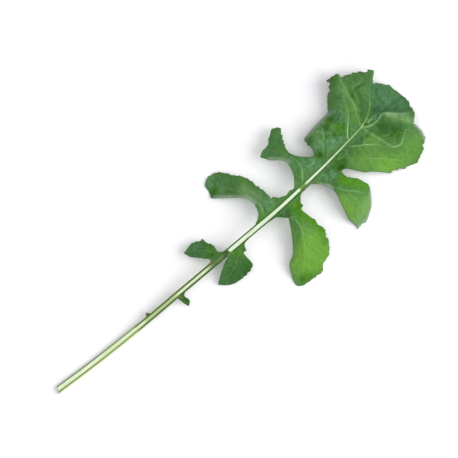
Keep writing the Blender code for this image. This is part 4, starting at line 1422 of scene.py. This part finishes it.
def stalk_material():
    """Stripes by how far across the stalk a place is, changed along the leaf."""
    material, shader, wire = new_material("pale stalk")
    where = wire.node("TexCoord", output=3)
    across = painted(wire, "across")
    stretched = wire.node("Mapping", {}, {"Vector": where, "Scale": FIBRE_SCALE})
    fibre = wire.node("TexNoise", {}, {"Vector": stretched, "Scale": 1.0, "Detail": 3.0})
    x = wire.node("SeparateXYZ", {}, {"Vector": where})
    low = 1 - from_x(x, *LOW_STALK_END)
    up_leaf = from_x(x, *WHITE_START)
    from_stripe = (across - low * 0.2).unsigned()
    body = fibre.between(0.3, 0.7).blend(STALK_GREEN, STALK_PALE)
    body = (stretch(x, *BRIGHT_STRETCH) * 0.6).blend(body, MIDRIB_WHITE)
    body = (from_stripe - low * 0.14).between(0.24, 0.42).blend(body, STALK_LIME)
    body = (stretch(x, *DULL_STRETCH) * (0.3 + fibre * 0.5)).blend(body, STALK_LIME)
    body = (from_x(x, *DEEP_START) * (0.75 + fibre * 0.4)).clamped().blend(body, STALK_DEEP)
    body = ((1 - across.between(-0.84, -0.7)) * low).blend(body, STALK_YELLOW)
    olive_line = across.between(-0.74, -0.64) * (1 - across.between(-0.54, -0.42))
    body = (olive_line * (0.45 + fibre * 0.6)).clamped().blend(body, STALK_OLIVE)
    white = fibre.between(0.4, 0.7).blend(MIDRIB_WHITE, MIDRIB_SHADE)
    white = from_x(x, *TIP_START).blend(white, MIDRIB_TIP)
    body = up_leaf.blend(body, white)
    body = stretch(x, *KNOT_STRETCH).blend(body, KNOT_GREEN)
    # The olive edges are partly painted shade on the stalk's rounded sides, partly its thin dark
    # wing lines.
    right_flank_shade_and_line = (1 - across.between(-0.86, -0.70)) * (1 - low)
    left_flank_shade_and_line = across.between(0.70, 0.86)
    edge = ((right_flank_shade_and_line + left_flank_shade_and_line) * (1 - up_leaf * 0.6) * (1 - low * 0.35)).clamped()
    body = edge.blend(body, STALK_OLIVE)
    links = material.node_tree.links
    links.new(body.socket, shader.inputs["Base Color"])
    links.new((0.34 + fibre * 0.16).socket, shader.inputs["Roughness"])
    bump = wire.node("Bump", {}, {"Strength": 0.4, "Distance": 0.0001, "Height": fibre})
    links.new(bump.socket, shader.inputs["Normal"])
    shader.inputs["Subsurface Weight"].default_value = 0.2
    shader.inputs["Subsurface Radius"].default_value = (1.0, 1.0, 0.4)
    shader.inputs["Subsurface Scale"].default_value = 0.0008
    return material


def vein_material():
    """As pale as each vein was drawn, in faint clouds."""
    material, shader, wire = new_material("pale veins")
    where = wire.node("TexCoord", output=3)
    cloudy = wire.node("TexNoise", {}, {"Vector": where, "Scale": VEIN_CLOUDS, "Detail": 2.0})
    tone = (painted(wire, "vein") * (0.8 + cloudy * 0.4)).clamped().blend(FAINT_VEIN, PALE_VEIN)
    material.node_tree.links.new(tone.socket, shader.inputs["Base Color"])
    shader.inputs["Roughness"].default_value = 0.45
    shader.inputs["Subsurface Weight"].default_value = 0.2
    shader.inputs["Subsurface Scale"].default_value = 0.0006
    return material


stalk.data.materials.append(stalk_material())
veins.data.materials.append(vein_material())
print("stalk and veins finished")

# %% [markdown]
# ## The leaf's pieces
# The blade and the stalk stand for the two plain solids, which are hidden but still carry
# the leaf's weight and touch the table for it. A leaf has no joints, so everything rides on
# the one body.

# %% Pieces on the leaf's body
for piece in (blade, stalk, veins):
    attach(piece, "root")
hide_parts("blade")
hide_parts("stalk")
